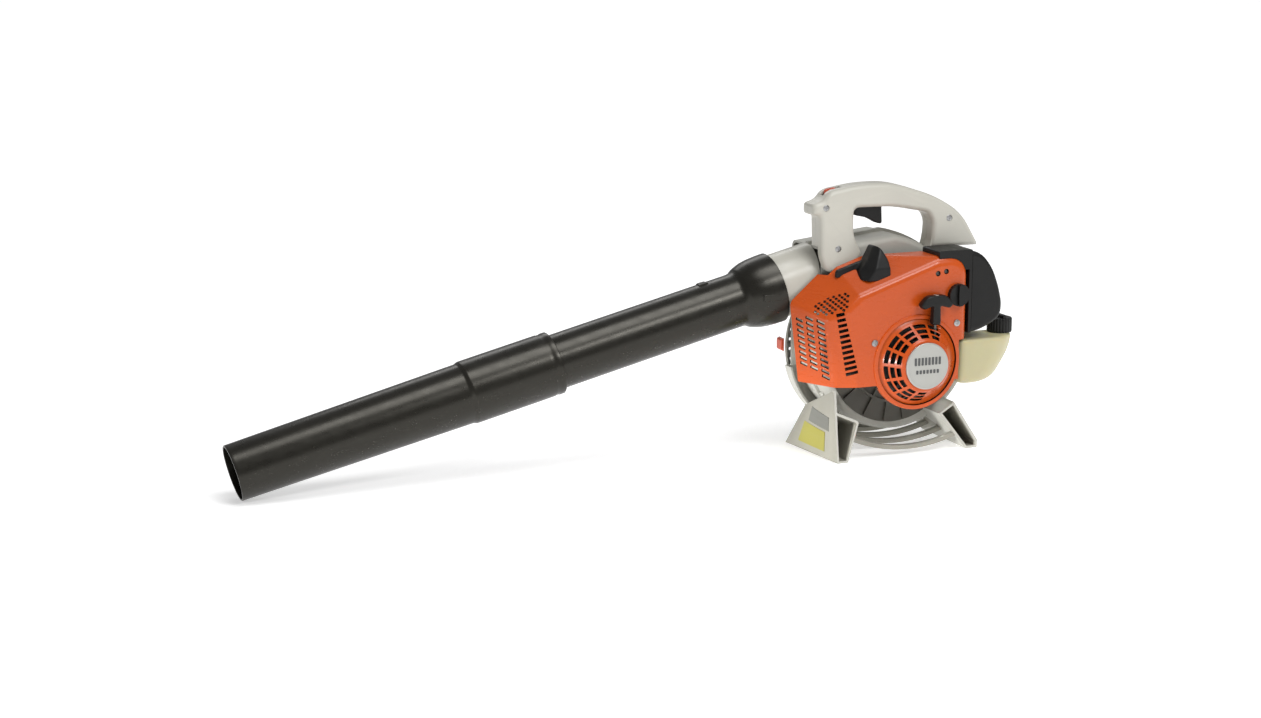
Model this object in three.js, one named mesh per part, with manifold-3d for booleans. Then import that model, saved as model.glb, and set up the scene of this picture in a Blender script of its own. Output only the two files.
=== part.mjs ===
// Handheld petrol leaf blower, standing on its feet with the nozzle tip on the ground.
// Millimetres, +Z up. The nozzle points to -X, the starter faces -Y and the fan intake
// faces +Y. The pieces are built about the crankshaft, which runs along Y at x = 0 and
// height CRANK_Z, and the finished group is then moved over its own middle.
import * as THREE from 'three';
import { mergeVertices } from 'three/addons/utils/BufferGeometryUtils.js';
import Module from 'manifold-3d';

const wasm = await Module();
wasm.setup();

// ---- Driving dimensions ----
const GAP = 0.4; // gap between neighbouring pieces
const WALL = 2.6; // moulded plastic wall
const CRANK_Z = 125; // height of the crankshaft
const ENGINE_Y = -54; // middle plane of cylinder and crankcase
const FAN_Y = 20; // middle plane of fan, outlet spigot and tube
const HANDLE_Y = -20; // middle plane of the handle

const SCROLL = { start: 99, growth: 56, power: 2.8, from: 150, sweep: 300, halfWidth: 44, edge: 9 };
const RIM = { r: 116, near: 46, far: 64 };
const OUTLET = { x: -105, top: 268, bottom: 182 };
const INTAKE_R = 60;
const FAN_R = 86;
const FAN_BLADES = 12;
const FLYWHEEL_FINS = 8;

// Spigot and collar are given by their distance from the start of the tube, along its axis.
const SPIGOT = { r: 42, tip: -32, root: -125 };
const COLLAR = { r: 46, rim: -54, waist: 45, waistAt: -30 };
const TUBE = { r: 34.8, wall: 2.4, pitch: 14.2, bend: -205, length: 374 };
const NOZZLE = { start: 250, socket: 142, length: 430, socketR: 40.3, bodyR: 38.6, mouthR: 35.25 };

const SHROUD = { near: -90, far: -27, rear: 74, top: 259, bottom: 98, rearCut: 61, tankTop: 149.5 };
const STARTER = { ring: 62, seat: 56.5, cover: 56, face: -116.7, badgeR: 30, ropeX: 20, ropeY: -100.3 };
const BORE_R = 17.3;
const CYLINDER_BASE = 160.4;
const CYLINDER_TOP = 226;
const PLUG_TILT = -44;
const PLUG_HOLE_R = 8.5;

const TANK = { near: -84, far: -28, left: 66, bottom: 88, top: 147 };
const CAP = { x: 145, y: -48, r: 16.5, height: 19.5, grip: 4 };
const FILTER = { near: -86, far: -40, front: 80 };

// ---- Finishes ----
const ORANGE = { color: 0xe2571c, roughness: 0.3, metalness: 0 };
const WHITE = { color: 0xdfdcd4, roughness: 0.45, metalness: 0 };
const GREY = { color: 0xb9b8ae, roughness: 0.55, metalness: 0 };
const BLACK = { color: 0x1c1d1e, roughness: 0.45, metalness: 0 };
const RUBBER = { color: 0x151515, roughness: 0.8, metalness: 0 };
const CREAM = { color: 0xe6dcae, roughness: 0.4, metalness: 0 };
const RED = { color: 0xd4401c, roughness: 0.4, metalness: 0 };
const ALLOY = { color: 0x9a9a98, roughness: 0.5, metalness: 0.8 };
const STEEL = { color: 0x86888a, roughness: 0.35, metalness: 1 };
const BADGE = { color: 0xb4b3ac, roughness: 0.35, metalness: 0.6 };
const FOAM = { color: 0x3a3a36, roughness: 0.95, metalness: 0 };

// ---- Solids ----
function signedVolume(positions, triangles) {
  let total = 0;
  const corner = (i) => new THREE.Vector3().fromArray(positions, 3 * i);
  for (let t = 0; t < triangles.length; t += 3) {
    const [a, b, c] = [0, 1, 2].map((k) => corner(triangles[t + k]));
    total += a.dot(b.cross(c)) / 6;
  }
  return total;
}

// A closed geometry becomes a solid, turned the right way out.
function solid(geometry) {
  const bare = geometry.clone();
  bare.deleteAttribute('normal');
  bare.deleteAttribute('uv');
  const merged = mergeVertices(bare, 1e-4);
  const source = merged.index.array;
  const triangles = [];
  for (let t = 0; t < source.length; t += 3) {
    const [a, b, c] = [source[t], source[t + 1], source[t + 2]];
    if (a !== b && b !== c && a !== c) triangles.push(a, b, c);
  }
  const vertProperties = new Float32Array(merged.attributes.position.array);
  if (signedVolume(vertProperties, triangles) < 0) triangles.reverse();
  const triVerts = new Uint32Array(triangles);
  return new wasm.Manifold(new wasm.Mesh({ numProp: 3, vertProperties, triVerts }));
}

function toGeometry(body) {
  const { vertProperties, triVerts } = body.getMesh();
  const geometry = new THREE.BufferGeometry();
  geometry.setAttribute('position', new THREE.BufferAttribute(vertProperties, 3));
  geometry.setIndex(new THREE.BufferAttribute(triVerts, 1));
  return geometry;
}

const join = (bodies) => bodies.reduce((sum, body) => sum.add(body));
const cut = (body, tools) => tools.reduce((rest, tool) => rest.subtract(tool), body);

function box(x0, x1, y0, y1, z0, z1) {
  const geometry = new THREE.BoxGeometry(x1 - x0, y1 - y0, z1 - z0);
  return solid(geometry.translate((x0 + x1) / 2, (y0 + y1) / 2, (z0 + z1) / 2));
}

// Round bars along each axis, given by their two ends and the other two coordinates.
function drumY(r, y0, y1, x = 0, z = CRANK_Z, sides = 32) {
  const geometry = new THREE.CylinderGeometry(r, r, y1 - y0, sides);
  return solid(geometry.translate(x, (y0 + y1) / 2, z));
}

function drumZ(r, z0, z1, x, y, sides = 20) {
  const geometry = new THREE.CylinderGeometry(r, r, z1 - z0, sides);
  return solid(geometry.rotateX(Math.PI / 2).translate(x, y, (z0 + z1) / 2));
}

function drumX(r, x0, x1, y, z, sides = 24) {
  const geometry = new THREE.CylinderGeometry(r, r, x1 - x0, sides);
  return solid(geometry.rotateZ(Math.PI / 2).translate((x0 + x1) / 2, y, z));
}

// A profile of [radius, height] points, turned about Y and closed on itself or on the axis.
function turned(profile, sides = 40) {
  const loop = profile[0][0] > 0 ? [...profile, profile[0]] : profile;
  const points = loop.map(([r, y]) => new THREE.Vector2(r, y));
  return new THREE.LatheGeometry(points, sides);
}

const aboutCrank = (profile, sides) => solid(turned(profile, sides).translate(0, 0, CRANK_Z));

// An outline with its corners [a, b, radius] rounded, by no more than the edges allow.
function rounded(corners, steps = 3) {
  const shape = new THREE.Shape();
  corners.forEach(([a, b, wanted = 0], i) => {
    const at = new THREE.Vector2(a, b);
    const before = new THREE.Vector2(...corners.at(i - 1)).sub(at);
    const after = new THREE.Vector2(...corners[(i + 1) % corners.length]).sub(at);
    const radius = Math.min(wanted, 0.45 * before.length(), 0.45 * after.length());
    const enter = at.clone().add(before.setLength(radius));
    const leave = at.clone().add(after.setLength(radius));
    if (i === 0) shape.moveTo(enter.x, enter.y);
    else shape.lineTo(enter.x, enter.y);
    if (radius > 0) shape.quadraticCurveTo(a, b, leave.x, leave.y);
  });
  shape.closePath();
  const points = shape.getPoints(steps).map(({ x, y }) => [x, y]);
  points.pop();
  return points;
}

// The same corners with every edge moved inward by an amount.
function pulledIn(corners, amount) {
  const flat = corners.map(([a, b]) => new THREE.Vector2(a, b));
  const side = THREE.ShapeUtils.isClockWise(flat) ? -amount : amount;
  return corners.map(([a, b, radius = 0], i) => {
    const before = flat[i].clone().sub(flat.at(i - 1)).normalize();
    const after = flat[(i + 1) % flat.length].clone().sub(flat[i]).normalize();
    const shift = side / (1 + before.dot(after));
    return [a - (before.y + after.y) * shift, b + (before.x + after.x) * shift, radius];
  });
}

// An [x, z] outline made thick from y0 to y1.
function slab(outline, y0, y1) {
  const shape = new THREE.Shape(outline.map(([x, z]) => new THREE.Vector2(x, z)));
  const geometry = new THREE.ExtrudeGeometry(shape, { depth: y1 - y0, bevelEnabled: false });
  return solid(geometry.rotateX(Math.PI / 2).translate(0, y1, 0));
}

// A closed body through stations [level, outline]. place(a, b, level) gives each point.
function loft(stations, place) {
  const count = stations[0][1].length;
  const placed = ([level, outline]) => outline.flatMap(([a, b]) => place(a, b, level));
  const positions = stations.flatMap(placed);
  const triangles = [];
  for (let s = 0; s + 1 < stations.length; s += 1) {
    for (let i = 0; i < count; i += 1) {
      const [a, b] = [s * count + i, s * count + ((i + 1) % count)];
      triangles.push(a, b, b + count, a, b + count, a + count);
    }
  }
  const flat = (outline) => outline.map((p) => new THREE.Vector2(...p));
  const cap = ([, outline]) => THREE.ShapeUtils.triangulateShape(flat(outline), []);
  const clockwise = THREE.ShapeUtils.isClockWise(flat(stations[0][1]));
  const lastStart = (stations.length - 1) * count;
  const orient = ([a, b, c]) => (clockwise ? [a, b, c] : [a, c, b]);
  const atEnd = (t) => orient(t).reverse().map((i) => i + lastStart);
  cap(stations[0]).forEach((t) => triangles.push(...orient(t)));
  cap(stations.at(-1)).forEach((t) => triangles.push(...atEnd(t)));
  const geometry = new THREE.BufferGeometry();
  geometry.setAttribute('position', new THREE.Float32BufferAttribute(positions, 3));
  geometry.setIndex(triangles);
  return solid(geometry);
}

const alongY = (stations) => loft(stations, (x, z, y) => [x, y, z]);
const alongZ = (stations) => loft(stations, (x, y, z) => [x, y, z]);

// A round cable or hose along a smooth curve through its points.
function hose(points, radius, steps = 20, sides = 8) {
  const curve = new THREE.CatmullRomCurve3(points.map((p) => new THREE.Vector3(...p)));
  const ring = new THREE.Shape();
  ring.absarc(0, 0, radius, 0, 2 * Math.PI);
  const section = new THREE.Shape(ring.getSpacedPoints(sides).slice(0, sides));
  return solid(new THREE.ExtrudeGeometry(section, { steps, bevelEnabled: false, extrudePath: curve }));
}

// Everything on the outer side of a plane, moved in by offset.
function beyond({ point, normal }, offset) {
  const size = 600;
  const geometry = new THREE.BoxGeometry(size, size, size).translate(0, 0, size / 2);
  const turn = new THREE.Quaternion().setFromUnitVectors(new THREE.Vector3(0, 0, 1), normal);
  geometry.applyQuaternion(turn);
  const at = point.clone().addScaledVector(normal, -offset);
  return solid(geometry.translate(at.x, at.y, at.z));
}

// A plane through three points, its normal pointing away from the engine.
function plane(a, b, c) {
  const [p, q, r] = [a, b, c].map((v) => new THREE.Vector3(...v));
  const normal = q.clone().sub(p).cross(r.clone().sub(p)).normalize();
  const outward = p.clone().sub(new THREE.Vector3(-20, ENGINE_Y, 170));
  if (normal.dot(outward) < 0) normal.negate();
  return { point: p, normal };
}

// A rectangular punch lying on a plane: u is its width direction.
function punch(face, centre, u, width, height) {
  const across = new THREE.Vector3(...u).projectOnPlane(face.normal).normalize();
  const up = face.normal.clone().cross(across);
  const matrix = new THREE.Matrix4().makeBasis(across, up, face.normal).setPosition(...centre);
  return solid(new THREE.BoxGeometry(width, height, 14).applyMatrix4(matrix));
}

// ---- The finished group ----
const blower = new THREE.Group();

function add(name, shape, finish, parent = blower) {
  const geometry = shape.isBufferGeometry ? shape : toGeometry(shape);
  const mesh = new THREE.Mesh(geometry, new THREE.MeshStandardMaterial(finish));
  mesh.name = name;
  parent.add(mesh);
}

// ---- Fan housing: a scroll in two halves, widening from its tongue to the outlet ----
function scrollOutline(inset, outletX = OUTLET.x) {
  const steps = 20;
  const points = [];
  for (let i = 0; i <= steps; i += 1) {
    const t = i / steps;
    const angle = THREE.MathUtils.degToRad(SCROLL.from + SCROLL.sweep * t);
    const r = SCROLL.start + SCROLL.growth * t ** SCROLL.power - inset;
    points.push([r * Math.cos(angle), CRANK_Z + r * Math.sin(angle)]);
  }
  points.push([outletX, OUTLET.top - inset], [outletX, OUTLET.bottom + inset]);
  return points;
}

function scrollBody(side, extra, outletX) {
  const { halfWidth, edge } = SCROLL;
  const stations = [[halfWidth, edge], [halfWidth - 3, 4], [halfWidth - 10, 0], [-0.5, 0]];
  return alongY(stations.map(([d, inset]) => {
    const y = d < 0 ? FAN_Y + side * d : FAN_Y + side * (d - extra);
    return [y, scrollOutline(inset + extra, outletX)];
  }));
}

// The round rim on the intake side, with the seat for the screen.
const intakeRim = aboutCrank([[90, RIM.far - 3], [RIM.r - WALL, RIM.far - 3], [RIM.r - WALL, RIM.near],
  [RIM.r, RIM.near], [RIM.r, RIM.far], [90, RIM.far]], 32);

function housingHalf(side) {
  const flange = slab(scrollOutline(-4), FAN_Y - 4, FAN_Y + 4);
  const seam = FAN_Y + (side * GAP) / 2;
  const otherSide = side > 0 ? box(-300, 300, -200, seam, -50, 400) : box(-300, 300, seam, 200, -50, 400);
  const rim = side > 0 ? [intakeRim] : [];
  const body = join([scrollBody(side, 0), flange, ...rim]);
  const beforeOutlet = box(-200, OUTLET.x, FAN_Y - 80, FAN_Y + 80, 100, 300);
  return cut(body, [scrollBody(side, 3, OUTLET.x - 1), otherSide, beforeOutlet]);
}

// The whole housing with a little room around it, for the pieces that fit against it.
const housingRoom = join([
  scrollBody(-1, -GAP),
  scrollBody(1, -GAP),
  slab(scrollOutline(-4 - GAP), FAN_Y - 4 - GAP, FAN_Y + 4 + GAP),
  drumY(RIM.r + GAP, RIM.near - GAP, RIM.far + GAP),
]);

add('fan_housing_inner', cut(housingHalf(-1), [drumY(15, -30, 0)]), GREY);
add('fan_housing_outer', cut(housingHalf(1), [drumY(INTAKE_R, 40, 80)]), GREY);

const SCREEN = { r: 113, y: 64.4, depth: 19, slots: 12 };
function intakeScreen() {
  const { r, y, depth } = SCREEN;
  const cap = aboutCrank([[0, y + depth], [r - 22, y + depth], [r - 6, y + depth - 8], [r, y],
    [r - WALL, y], [r - 8, y + depth - 10], [r - 23, y + depth - WALL], [0, y + depth - WALL]], 28);
  const slots = [];
  for (let i = 0; i < SCREEN.slots; i += 1) {
    const turn = (2 * Math.PI * (i + 0.5)) / SCREEN.slots;
    const bar = new THREE.BoxGeometry(80, 18, 6).translate(r - 48, y + depth, 0);
    slots.push(solid(bar.rotateY(turn).translate(0, 0, CRANK_Z)));
  }
  return cut(cap, slots);
}
add('intake_screen', intakeScreen(), GREY);

const LATCH = { x: -RIM.r - GAP, near: 60, far: 75, z: 128, thick: 4 };
function intakeLatch() {
  const { x, near, far, z, thick } = LATCH;
  return slab([[x, z - 9], [x, z + 9], [x - thick, z + 7], [x - thick, z - 7]], near, far);
}
add('intake_latch', intakeLatch(), RED);
add('screen_hinge_pin', drumZ(2.5, 105, 145, 119.5, 66, 12), STEEL);

// ---- Rotating group ----
function fanWheel() {
  const hub = drumY(16, -12, 30);
  const plate = drumY(FAN_R, -12, -9.5);
  const blades = [];
  for (let i = 0; i < FAN_BLADES; i += 1) {
    const blade = new THREE.BoxGeometry(44, 54, 2.4).translate(21, 17, 0);
    blade.rotateY(-0.7).translate(48, 0, 0);
    blades.push(solid(blade.rotateY((2 * Math.PI * i) / FAN_BLADES).translate(0, 0, CRANK_Z)));
  }
  const rim = drumY(FAN_R, -20, 50);
  return cut(join([hub, plate, ...blades]).intersect(rim), [drumY(6.4, -20, 60)]);
}
add('fan_wheel', fanWheel(), BLACK);

function flywheel() {
  const disc = aboutCrank([[6.4, -92], [14, -92], [14, -86], [46, -86], [46, -78], [6.4, -78]], 28);
  const fins = [];
  for (let i = 0; i < FLYWHEEL_FINS; i += 1) {
    const fin = new THREE.BoxGeometry(24, 7, 2.4).translate(31, -88.5, 0);
    fins.push(solid(fin.rotateY((2 * Math.PI * i) / FLYWHEEL_FINS).translate(0, 0, CRANK_Z)));
  }
  return join([disc, ...fins]);
}
add('flywheel', flywheel(), ALLOY);

const CRANK = { throw: 14, pinR: 4.5, webR: 25 };
function crankshaft() {
  const { throw: offset, pinR, webR } = CRANK;
  return join([
    drumY(6, -93, -59.5, 0, CRANK_Z, 16),
    drumY(6, -48.5, 30, 0, CRANK_Z, 16),
    drumY(webR, -65, -59, 0, CRANK_Z, 24),
    drumY(webR, -49, -43, 0, CRANK_Z, 24),
    drumY(pinR, -62, -46, 0, CRANK_Z + offset, 16),
  ]);
}
add('crankshaft', crankshaft(), STEEL);

// ---- Engine ----
const CASE = { r: 38, y0: -72, y1: -36, inner: 30 };
function crankcase(y0, y1, open) {
  const body = join([
    drumY(CASE.r, y0, y1),
    box(-27, 27, y0, y1, CRANK_Z, CYLINDER_BASE - GAP),
    box(-42, 42, y0, y1, CRANK_Z - 12, CRANK_Z - 2),
  ]);
  return cut(body, [
    box(-60, 60, -80, -30, CYLINDER_BASE - GAP, 200),
    drumY(CASE.inner, open[0], open[1]),
    drumZ(BORE_R + 0.3, CRANK_Z, CRANK_Z + 60, 0, ENGINE_Y),
    drumY(14.3, -90, 0, 0, CRANK_Z, 24),
  ]);
}
add('crankcase_starter_side', crankcase(CASE.y0, ENGINE_Y - GAP / 2, [-67, 0]), ALLOY);
add('crankcase_fan_side', crankcase(ENGINE_Y + GAP / 2, CASE.y1, [-90, -41]), ALLOY);
const bearing = (y0, y1) => aboutCrank([[6.4, y0], [14, y0], [14, y1], [6.4, y1]], 24);
add('bearing_starter_side', bearing(-71.5, -66), STEEL);
add('bearing_fan_side', bearing(-42, -36.5), STEEL);

// The plug axis leans forward from the top of the cylinder.
const PLUG_FOOT = [-8, ENGINE_Y, CYLINDER_TOP - 8];
function onPlugAxis(geometry) {
  return geometry.rotateY(THREE.MathUtils.degToRad(PLUG_TILT)).translate(...PLUG_FOOT);
}
const plugBore = (r, z0, z1, sides = 16) => {
  const bar = new THREE.CylinderGeometry(r, r, z1 - z0, sides).rotateX(Math.PI / 2);
  return solid(onPlugAxis(bar.translate(0, 0, (z0 + z1) / 2)));
};

function cylinder() {
  const barrel = 20;
  const finR = 23.5;
  const fins = 5;
  const pitch = 11.6;
  const profile = [[0, CYLINDER_TOP], [barrel - 4, CYLINDER_TOP]];
  for (let i = fins - 1; i >= 0; i -= 1) {
    const z = CYLINDER_BASE + 4 + i * pitch;
    profile.push([barrel, z + 3], [finR, z + 3], [finR, z], [barrel, z]);
  }
  profile.push([barrel, CYLINDER_BASE], [BORE_R, CYLINDER_BASE]);
  profile.push([BORE_R, CYLINDER_TOP - 12], [0, CYLINDER_TOP - 8]);
  const upright = turned(profile, 16).rotateX(Math.PI / 2).translate(0, ENGINE_Y, 0);
  return cut(solid(upright), [plugBore(5.4, -12, 30, 10), plugBore(9.7, 9, 30, 12)]);
}
add('cylinder', cylinder(), ALLOY);

const PISTON_TOP = CYLINDER_TOP - 14;
const wristZ = PISTON_TOP - 14;
function piston() {
  const skirt = drumZ(BORE_R - 0.6, PISTON_TOP - 28, PISTON_TOP, 0, ENGINE_Y);
  const inside = drumZ(BORE_R - 3, PISTON_TOP - 30, PISTON_TOP - 4, 0, ENGINE_Y);
  const pinHole = drumY(4, -90, 0, 0, wristZ, 16);
  return cut(skirt, [inside, pinHole]);
}
add('piston', piston(), ALLOY);
add('wrist_pin', drumY(3.6, ENGINE_Y - 15, ENGINE_Y + 15, 0, wristZ, 16), STEEL);

// The rod's lower end is an open saddle that clears the circle swept by the crank pin.
function connectingRod() {
  const swept = CRANK.throw + CRANK.pinR + GAP;
  const rod = join([
    drumY(6.5, ENGINE_Y - 4.5, ENGINE_Y + 4.5, 0, wristZ, 20),
    box(-3.5, 3.5, ENGINE_Y - 3, ENGINE_Y + 3, CRANK_Z + swept, wristZ),
    box(-8, 8, ENGINE_Y - 4.5, ENGINE_Y + 4.5, CRANK_Z + swept - 4, CRANK_Z + swept + 4),
  ]);
  return cut(rod, [drumY(swept, -70, -40), drumY(4, -90, 0, 0, wristZ, 16)]);
}
add('connecting_rod', connectingRod(), STEEL);

function sparkPlug() {
  const profile = [[0, 0], [4.9, 0], [4.9, 9.6], [9, 9.6], [9, 16], [5, 17], [4.4, 32], [2.5, 33],
    [2.5, 38], [0, 38]];
  return solid(onPlugAxis(turned(profile, 16).rotateX(Math.PI / 2)));
}
add('spark_plug', sparkPlug(), STEEL);

function muffler() {
  const corners = [[-104, 112, 10], [-44, 112, 10], [-44, 184, 10], [-104, 184, 10]];
  const can = slab(rounded(corners), -70, -34);
  const hollow = slab(rounded(pulledIn(corners, 1.5), 2), -68.5, -35.5);
  const port = drumX(7.5, -60, -20, ENGINE_Y, 172, 16);
  const outlet = drumX(6, -110, -95, ENGINE_Y, 128, 16);
  return cut(join([can, drumX(9, -46, -26.2, ENGINE_Y, 172)]), [hollow, port, outlet]);
}
add('muffler', muffler(), STEEL);

function ignitionModule() {
  const body = box(-72, -46, -83.6, -72.6, 108, 142);
  return cut(body, [drumY(48, -100, -60)]);
}
add('ignition_module', ignitionModule(), BLACK);
add('intake_manifold', drumX(11, 26.2, 39.6, ENGINE_Y, 200), RUBBER);

function carburettor() {
  const body = box(40, 66, -68, -42, 188, 216);
  return cut(join([body, drumX(12, 66, 70.6, ENGINE_Y, 200)]), [drumX(8, 30, 80, ENGINE_Y, 200)]);
}
add('carburettor', carburettor(), ALLOY);

// ---- Engine shroud: a slanted shell with a round seat for the starter ----
const frontFace = plane([-151, -27, 202], [-123, -80, 187], [-112, -80, 100]);
const cornerFace = plane([-123, -80, 187], [-112, -80, 100], [-86, -90, 105]);
const noseFace = plane([-151, -27, 202], [-123, -80, 187], [-105, -30, 240]);
const upperFace = plane([-93, -90, 212], [-7, -90, 241], [-105, -40, 240]);

function shroudBlock(offset, far, bottom) {
  const { near, rear, top } = SHROUD;
  const [back, crown] = [rear - offset, top - offset];
  const outline = rounded([[-160, bottom], [back, bottom], [back, crown, 28 - offset], [-160, crown]], 6);
  const block = slab(outline, near + offset, far);
  const faces = [frontFace, cornerFace, noseFace, upperFace];
  return cut(block, faces.map((face) => beyond(face, offset)));
}

// Ventilation: a column of slots down the corner, a grid above it and one low in front.
function shroudVents() {
  const vents = [];
  for (let i = 0; i < 11; i += 1) {
    const t = i / 10;
    const centre = [-112 + 12 * t, -84.5, 203 - 86 * t];
    vents.push(punch(cornerFace, centre, [1, -0.4, 0], 17, 3.4));
  }
  for (let row = 0; row < 4; row += 1) {
    for (let column = 0; column < 5; column += 1) {
      const centre = [-127 + 5.5 * row + 2.2 * column, -66 + 7 * column, 203 + 8 * row + 1.6 * column];
      vents.push(punch(noseFace, centre, [0.4, 1, 0.2], 4, 4));
    }
  }
  for (let row = 0; row < 6; row += 1) {
    const centre = [-121 - 0.4 * row, -63, 118 + 9 * row];
    vents.push(punch(frontFace, centre, [-0.4, 1, 0], 20, 3.4));
  }
  return vents;
}

const CHOKE = { x: 57, z: 209, r: 14.5 };
const shroudScrews = [[-61, 154], [57, 172]];
function engineShroud() {
  const { near, far, bottom, rearCut, tankTop } = SHROUD;
  const ring = drumY(STARTER.ring, near - 2, near + 6, 0, CRANK_Z, 40);
  const outer = join([shroudBlock(0, far, bottom), ring]);
  const inner = shroudBlock(WALL, far + 5, bottom - 5);
  return cut(outer, [
    inner,
    box(-135, 60, -38, 0, 236, 300),
    drumY(STARTER.seat, near - 20, -60, 0, CRANK_Z, 40),
    box(rearCut, 90, -95, -20, 80, tankTop),
    box(SHROUD.rear - 5, 90, -80, -20, 160, 236),
    drumY(5, -95, -80, CHOKE.x, CHOKE.z, 16),
    ...[[28, 238], [40, 240]].map(([x, z]) => drumY(3.5, -95, -80, x, z, 12)),
    ...shroudScrews.map(([x, z]) => drumY(3, -95, -80, x, z, 12)),
    plugBore(PLUG_HOLE_R, 0, 60),
    ...shroudVents(),
  ]);
}
add('engine_shroud', engineShroud(), ORANGE);

function screw(x, y, z, r = 4.3) {
  return join([drumY(r, y - 1.6, y - GAP, x, z, 12), drumY(2.4, y - 1, y + 10, x, z, 10)]);
}
shroudScrews.forEach(([x, z], i) => {
  add(['shroud_screw_front', 'shroud_screw_rear'][i], screw(x, SHROUD.near, z), STEEL);
});

function plugBoot() {
  const outline = rounded([[-98, 236], [-96, 243, 2], [-68, 250, 4], [-56, 260, 4], [-47, 275, 4],
    [-41, 272, 5], [-33, 256, 4], [-30.5, 232]]);
  const hood = slab(outline, -85, -46);
  const shroudSurface = shroudBlock(-GAP, SHROUD.far, SHROUD.bottom);
  const slope = beyond(plane([-47, -72, 277], [-47, -86, 242], [-30, -86, 242]), 0);
  const aboveTail = beyond(plane([-60, -62, 262], [-60, -80, 238], [-98, -60, 248]), 0);
  const tail = aboveTail.intersect(box(-200, -58, -100, 0, 200, 300));
  return cut(hood, [shroudSurface, slope, tail, plugBore(6.4, 0, 41)]);
}
add('spark_plug_boot', plugBoot(), RUBBER);

// ---- Starter ----
function starterCover() {
  const { cover, face, ropeX, ropeY } = STARTER;
  const shell = aboutCrank([[0, face], [31, face], [34, face + 2.4], [52, -91], [cover, -88], [cover, -84],
    [50, -84], [50, -88.5], [33, -111.8], [30, face + 2.5], [0, face + 2.5]], 24);
  const post = drumY(5, face + 1, -94.5, 0, CRANK_Z, 20);
  const guide = drumZ(7, 158, 171, ropeX, ropeY, 16);
  const slots = [];
  for (let group = 0; group < 9; group += 1) {
    const turn = THREE.MathUtils.degToRad(-66 - 25 * group);
    for (let ring = 0; ring < 3; ring += 1) {
      const louvre = new THREE.BoxGeometry(3, 30, 11).translate(37.2 + 5.4 * ring, -102, 0);
      slots.push(solid(louvre.rotateY(turn).translate(0, 0, CRANK_Z)));
    }
  }
  const inside = aboutCrank([[0, -80], [50, -80], [50, -88.5], [33, -111.8], [0, -111.8]], 24);
  const vented = cut(shell, slots);
  return cut(join([vented, post, guide.subtract(inside)]), [drumZ(2.4, 100, 200, ropeX, ropeY, 12)]);
}
add('starter_cover', starterCover(), ORANGE);
add('badge_disc', drumY(STARTER.badgeR, STARTER.face - 3, STARTER.face - GAP), BADGE);

function ropePulley() {
  return aboutCrank([[5.4, -104.5], [27, -104.5], [27, -103], [17.8, -102.4], [17.8, -96.6], [27, -96],
    [27, -94.6], [5.4, -94.6]], 28);
}
add('rope_pulley', ropePulley(), BLACK);

function recoilSpring() {
  const turns = 3;
  const steps = 30;
  const side = (shift) => Array.from({ length: steps + 1 }, (_, i) => {
    const t = i / steps;
    const r = 8 + 16 * t + shift;
    const angle = 2 * Math.PI * turns * t;
    return [r * Math.cos(angle), CRANK_Z + r * Math.sin(angle)];
  });
  return slab([...side(0), ...side(1.2).reverse()], -111, -105.2);
}
add('recoil_spring', recoilSpring(), STEEL);
add('starter_rope', drumZ(1.7, 127, 184, STARTER.ropeX, STARTER.ropeY, 8), FOAM);

function starterGrip() {
  const { ropeX, ropeY } = STARTER;
  const bar = rounded([[-6, 174, 2], [6, 174, 2], [5, 200, 3], [20, 195, 3], [24, 201, 3], [12, 213, 4],
    [-12, 213, 4], [-24, 201, 3], [-20, 195, 3], [-5, 200, 3]], 2);
  const body = slab(bar.map(([x, z]) => [ropeX + x, z]), ropeY - 6, ropeY + 6);
  return cut(body, [drumZ(2.2, 160, 185, ropeX, ropeY, 12)]);
}
add('starter_grip', starterGrip(), BLACK);

function chokeKnob() {
  const { x, z, r } = CHOKE;
  const knob = drumY(r, SHROUD.near - 7, SHROUD.near - GAP, x, z, 24);
  const rib = box(x - 3, x + 3, SHROUD.near - 11, SHROUD.near - 5, z - r + 1, z + r - 1);
  const shaft = drumY(4, SHROUD.near - 2, -69, x, z, 16);
  return join([knob, rib, shaft]);
}
add('choke_knob', chokeKnob(), BLACK);

// ---- Air filter ----
const filterCorners = [[70, 266, 3], [95, 260, 10], [112, 240, 16], [122, 214, 16], [127, 192, 12],
  [125, 176, 8], [112, 166, 8], [92, 158, 6], [70, 156.5, 3]];

function filterBase() {
  const { near, far, front } = FILTER;
  const outline = rounded([[32, 265.8, 2], [front, 265.8], [front, 157], [60, 155.5], [60, 240], [32, 240]]);
  const hood = slab(outline, near, far);
  const seat = box(30, 76, -100, 0, 100, 240);
  const shroud = shroudBlock(-GAP, 0, 90);
  return cut(hood, [shroud, seat, drumX(9, 60, 90, ENGINE_Y, 200)]);
}
add('filter_base', filterBase(), BLACK);

function filterCover() {
  const { near, far, front } = FILTER;
  const slices = [[0, 5], [5, 0]];
  const body = (inset) => {
    const station = (from, side) => ([depth, edge]) => (
      [from + side * (depth + inset), rounded(pulledIn(filterCorners, edge + inset))]);
    return alongY([...slices.map(station(near, 1)), ...slices.toReversed().map(station(far, -1))]);
  };
  return cut(body(0), [body(WALL), box(0, front + GAP, -100, 0, 100, 300)]);
}
add('filter_cover', filterCover(), BLACK);
add('filter_element', box(84, 103, -76, -50, 178, 236), FOAM);

// ---- Fuel system ----
function tankOutline(shift, inset = 0) {
  const { near, far, left } = TANK;
  return rounded([[left + inset, near + inset, 8], [133 - shift - inset, near + inset, 12],
    [162 - shift - inset, -52, 12], [162 - shift - inset, far - inset, 8], [left + inset, far - inset, 6]]);
}

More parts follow.
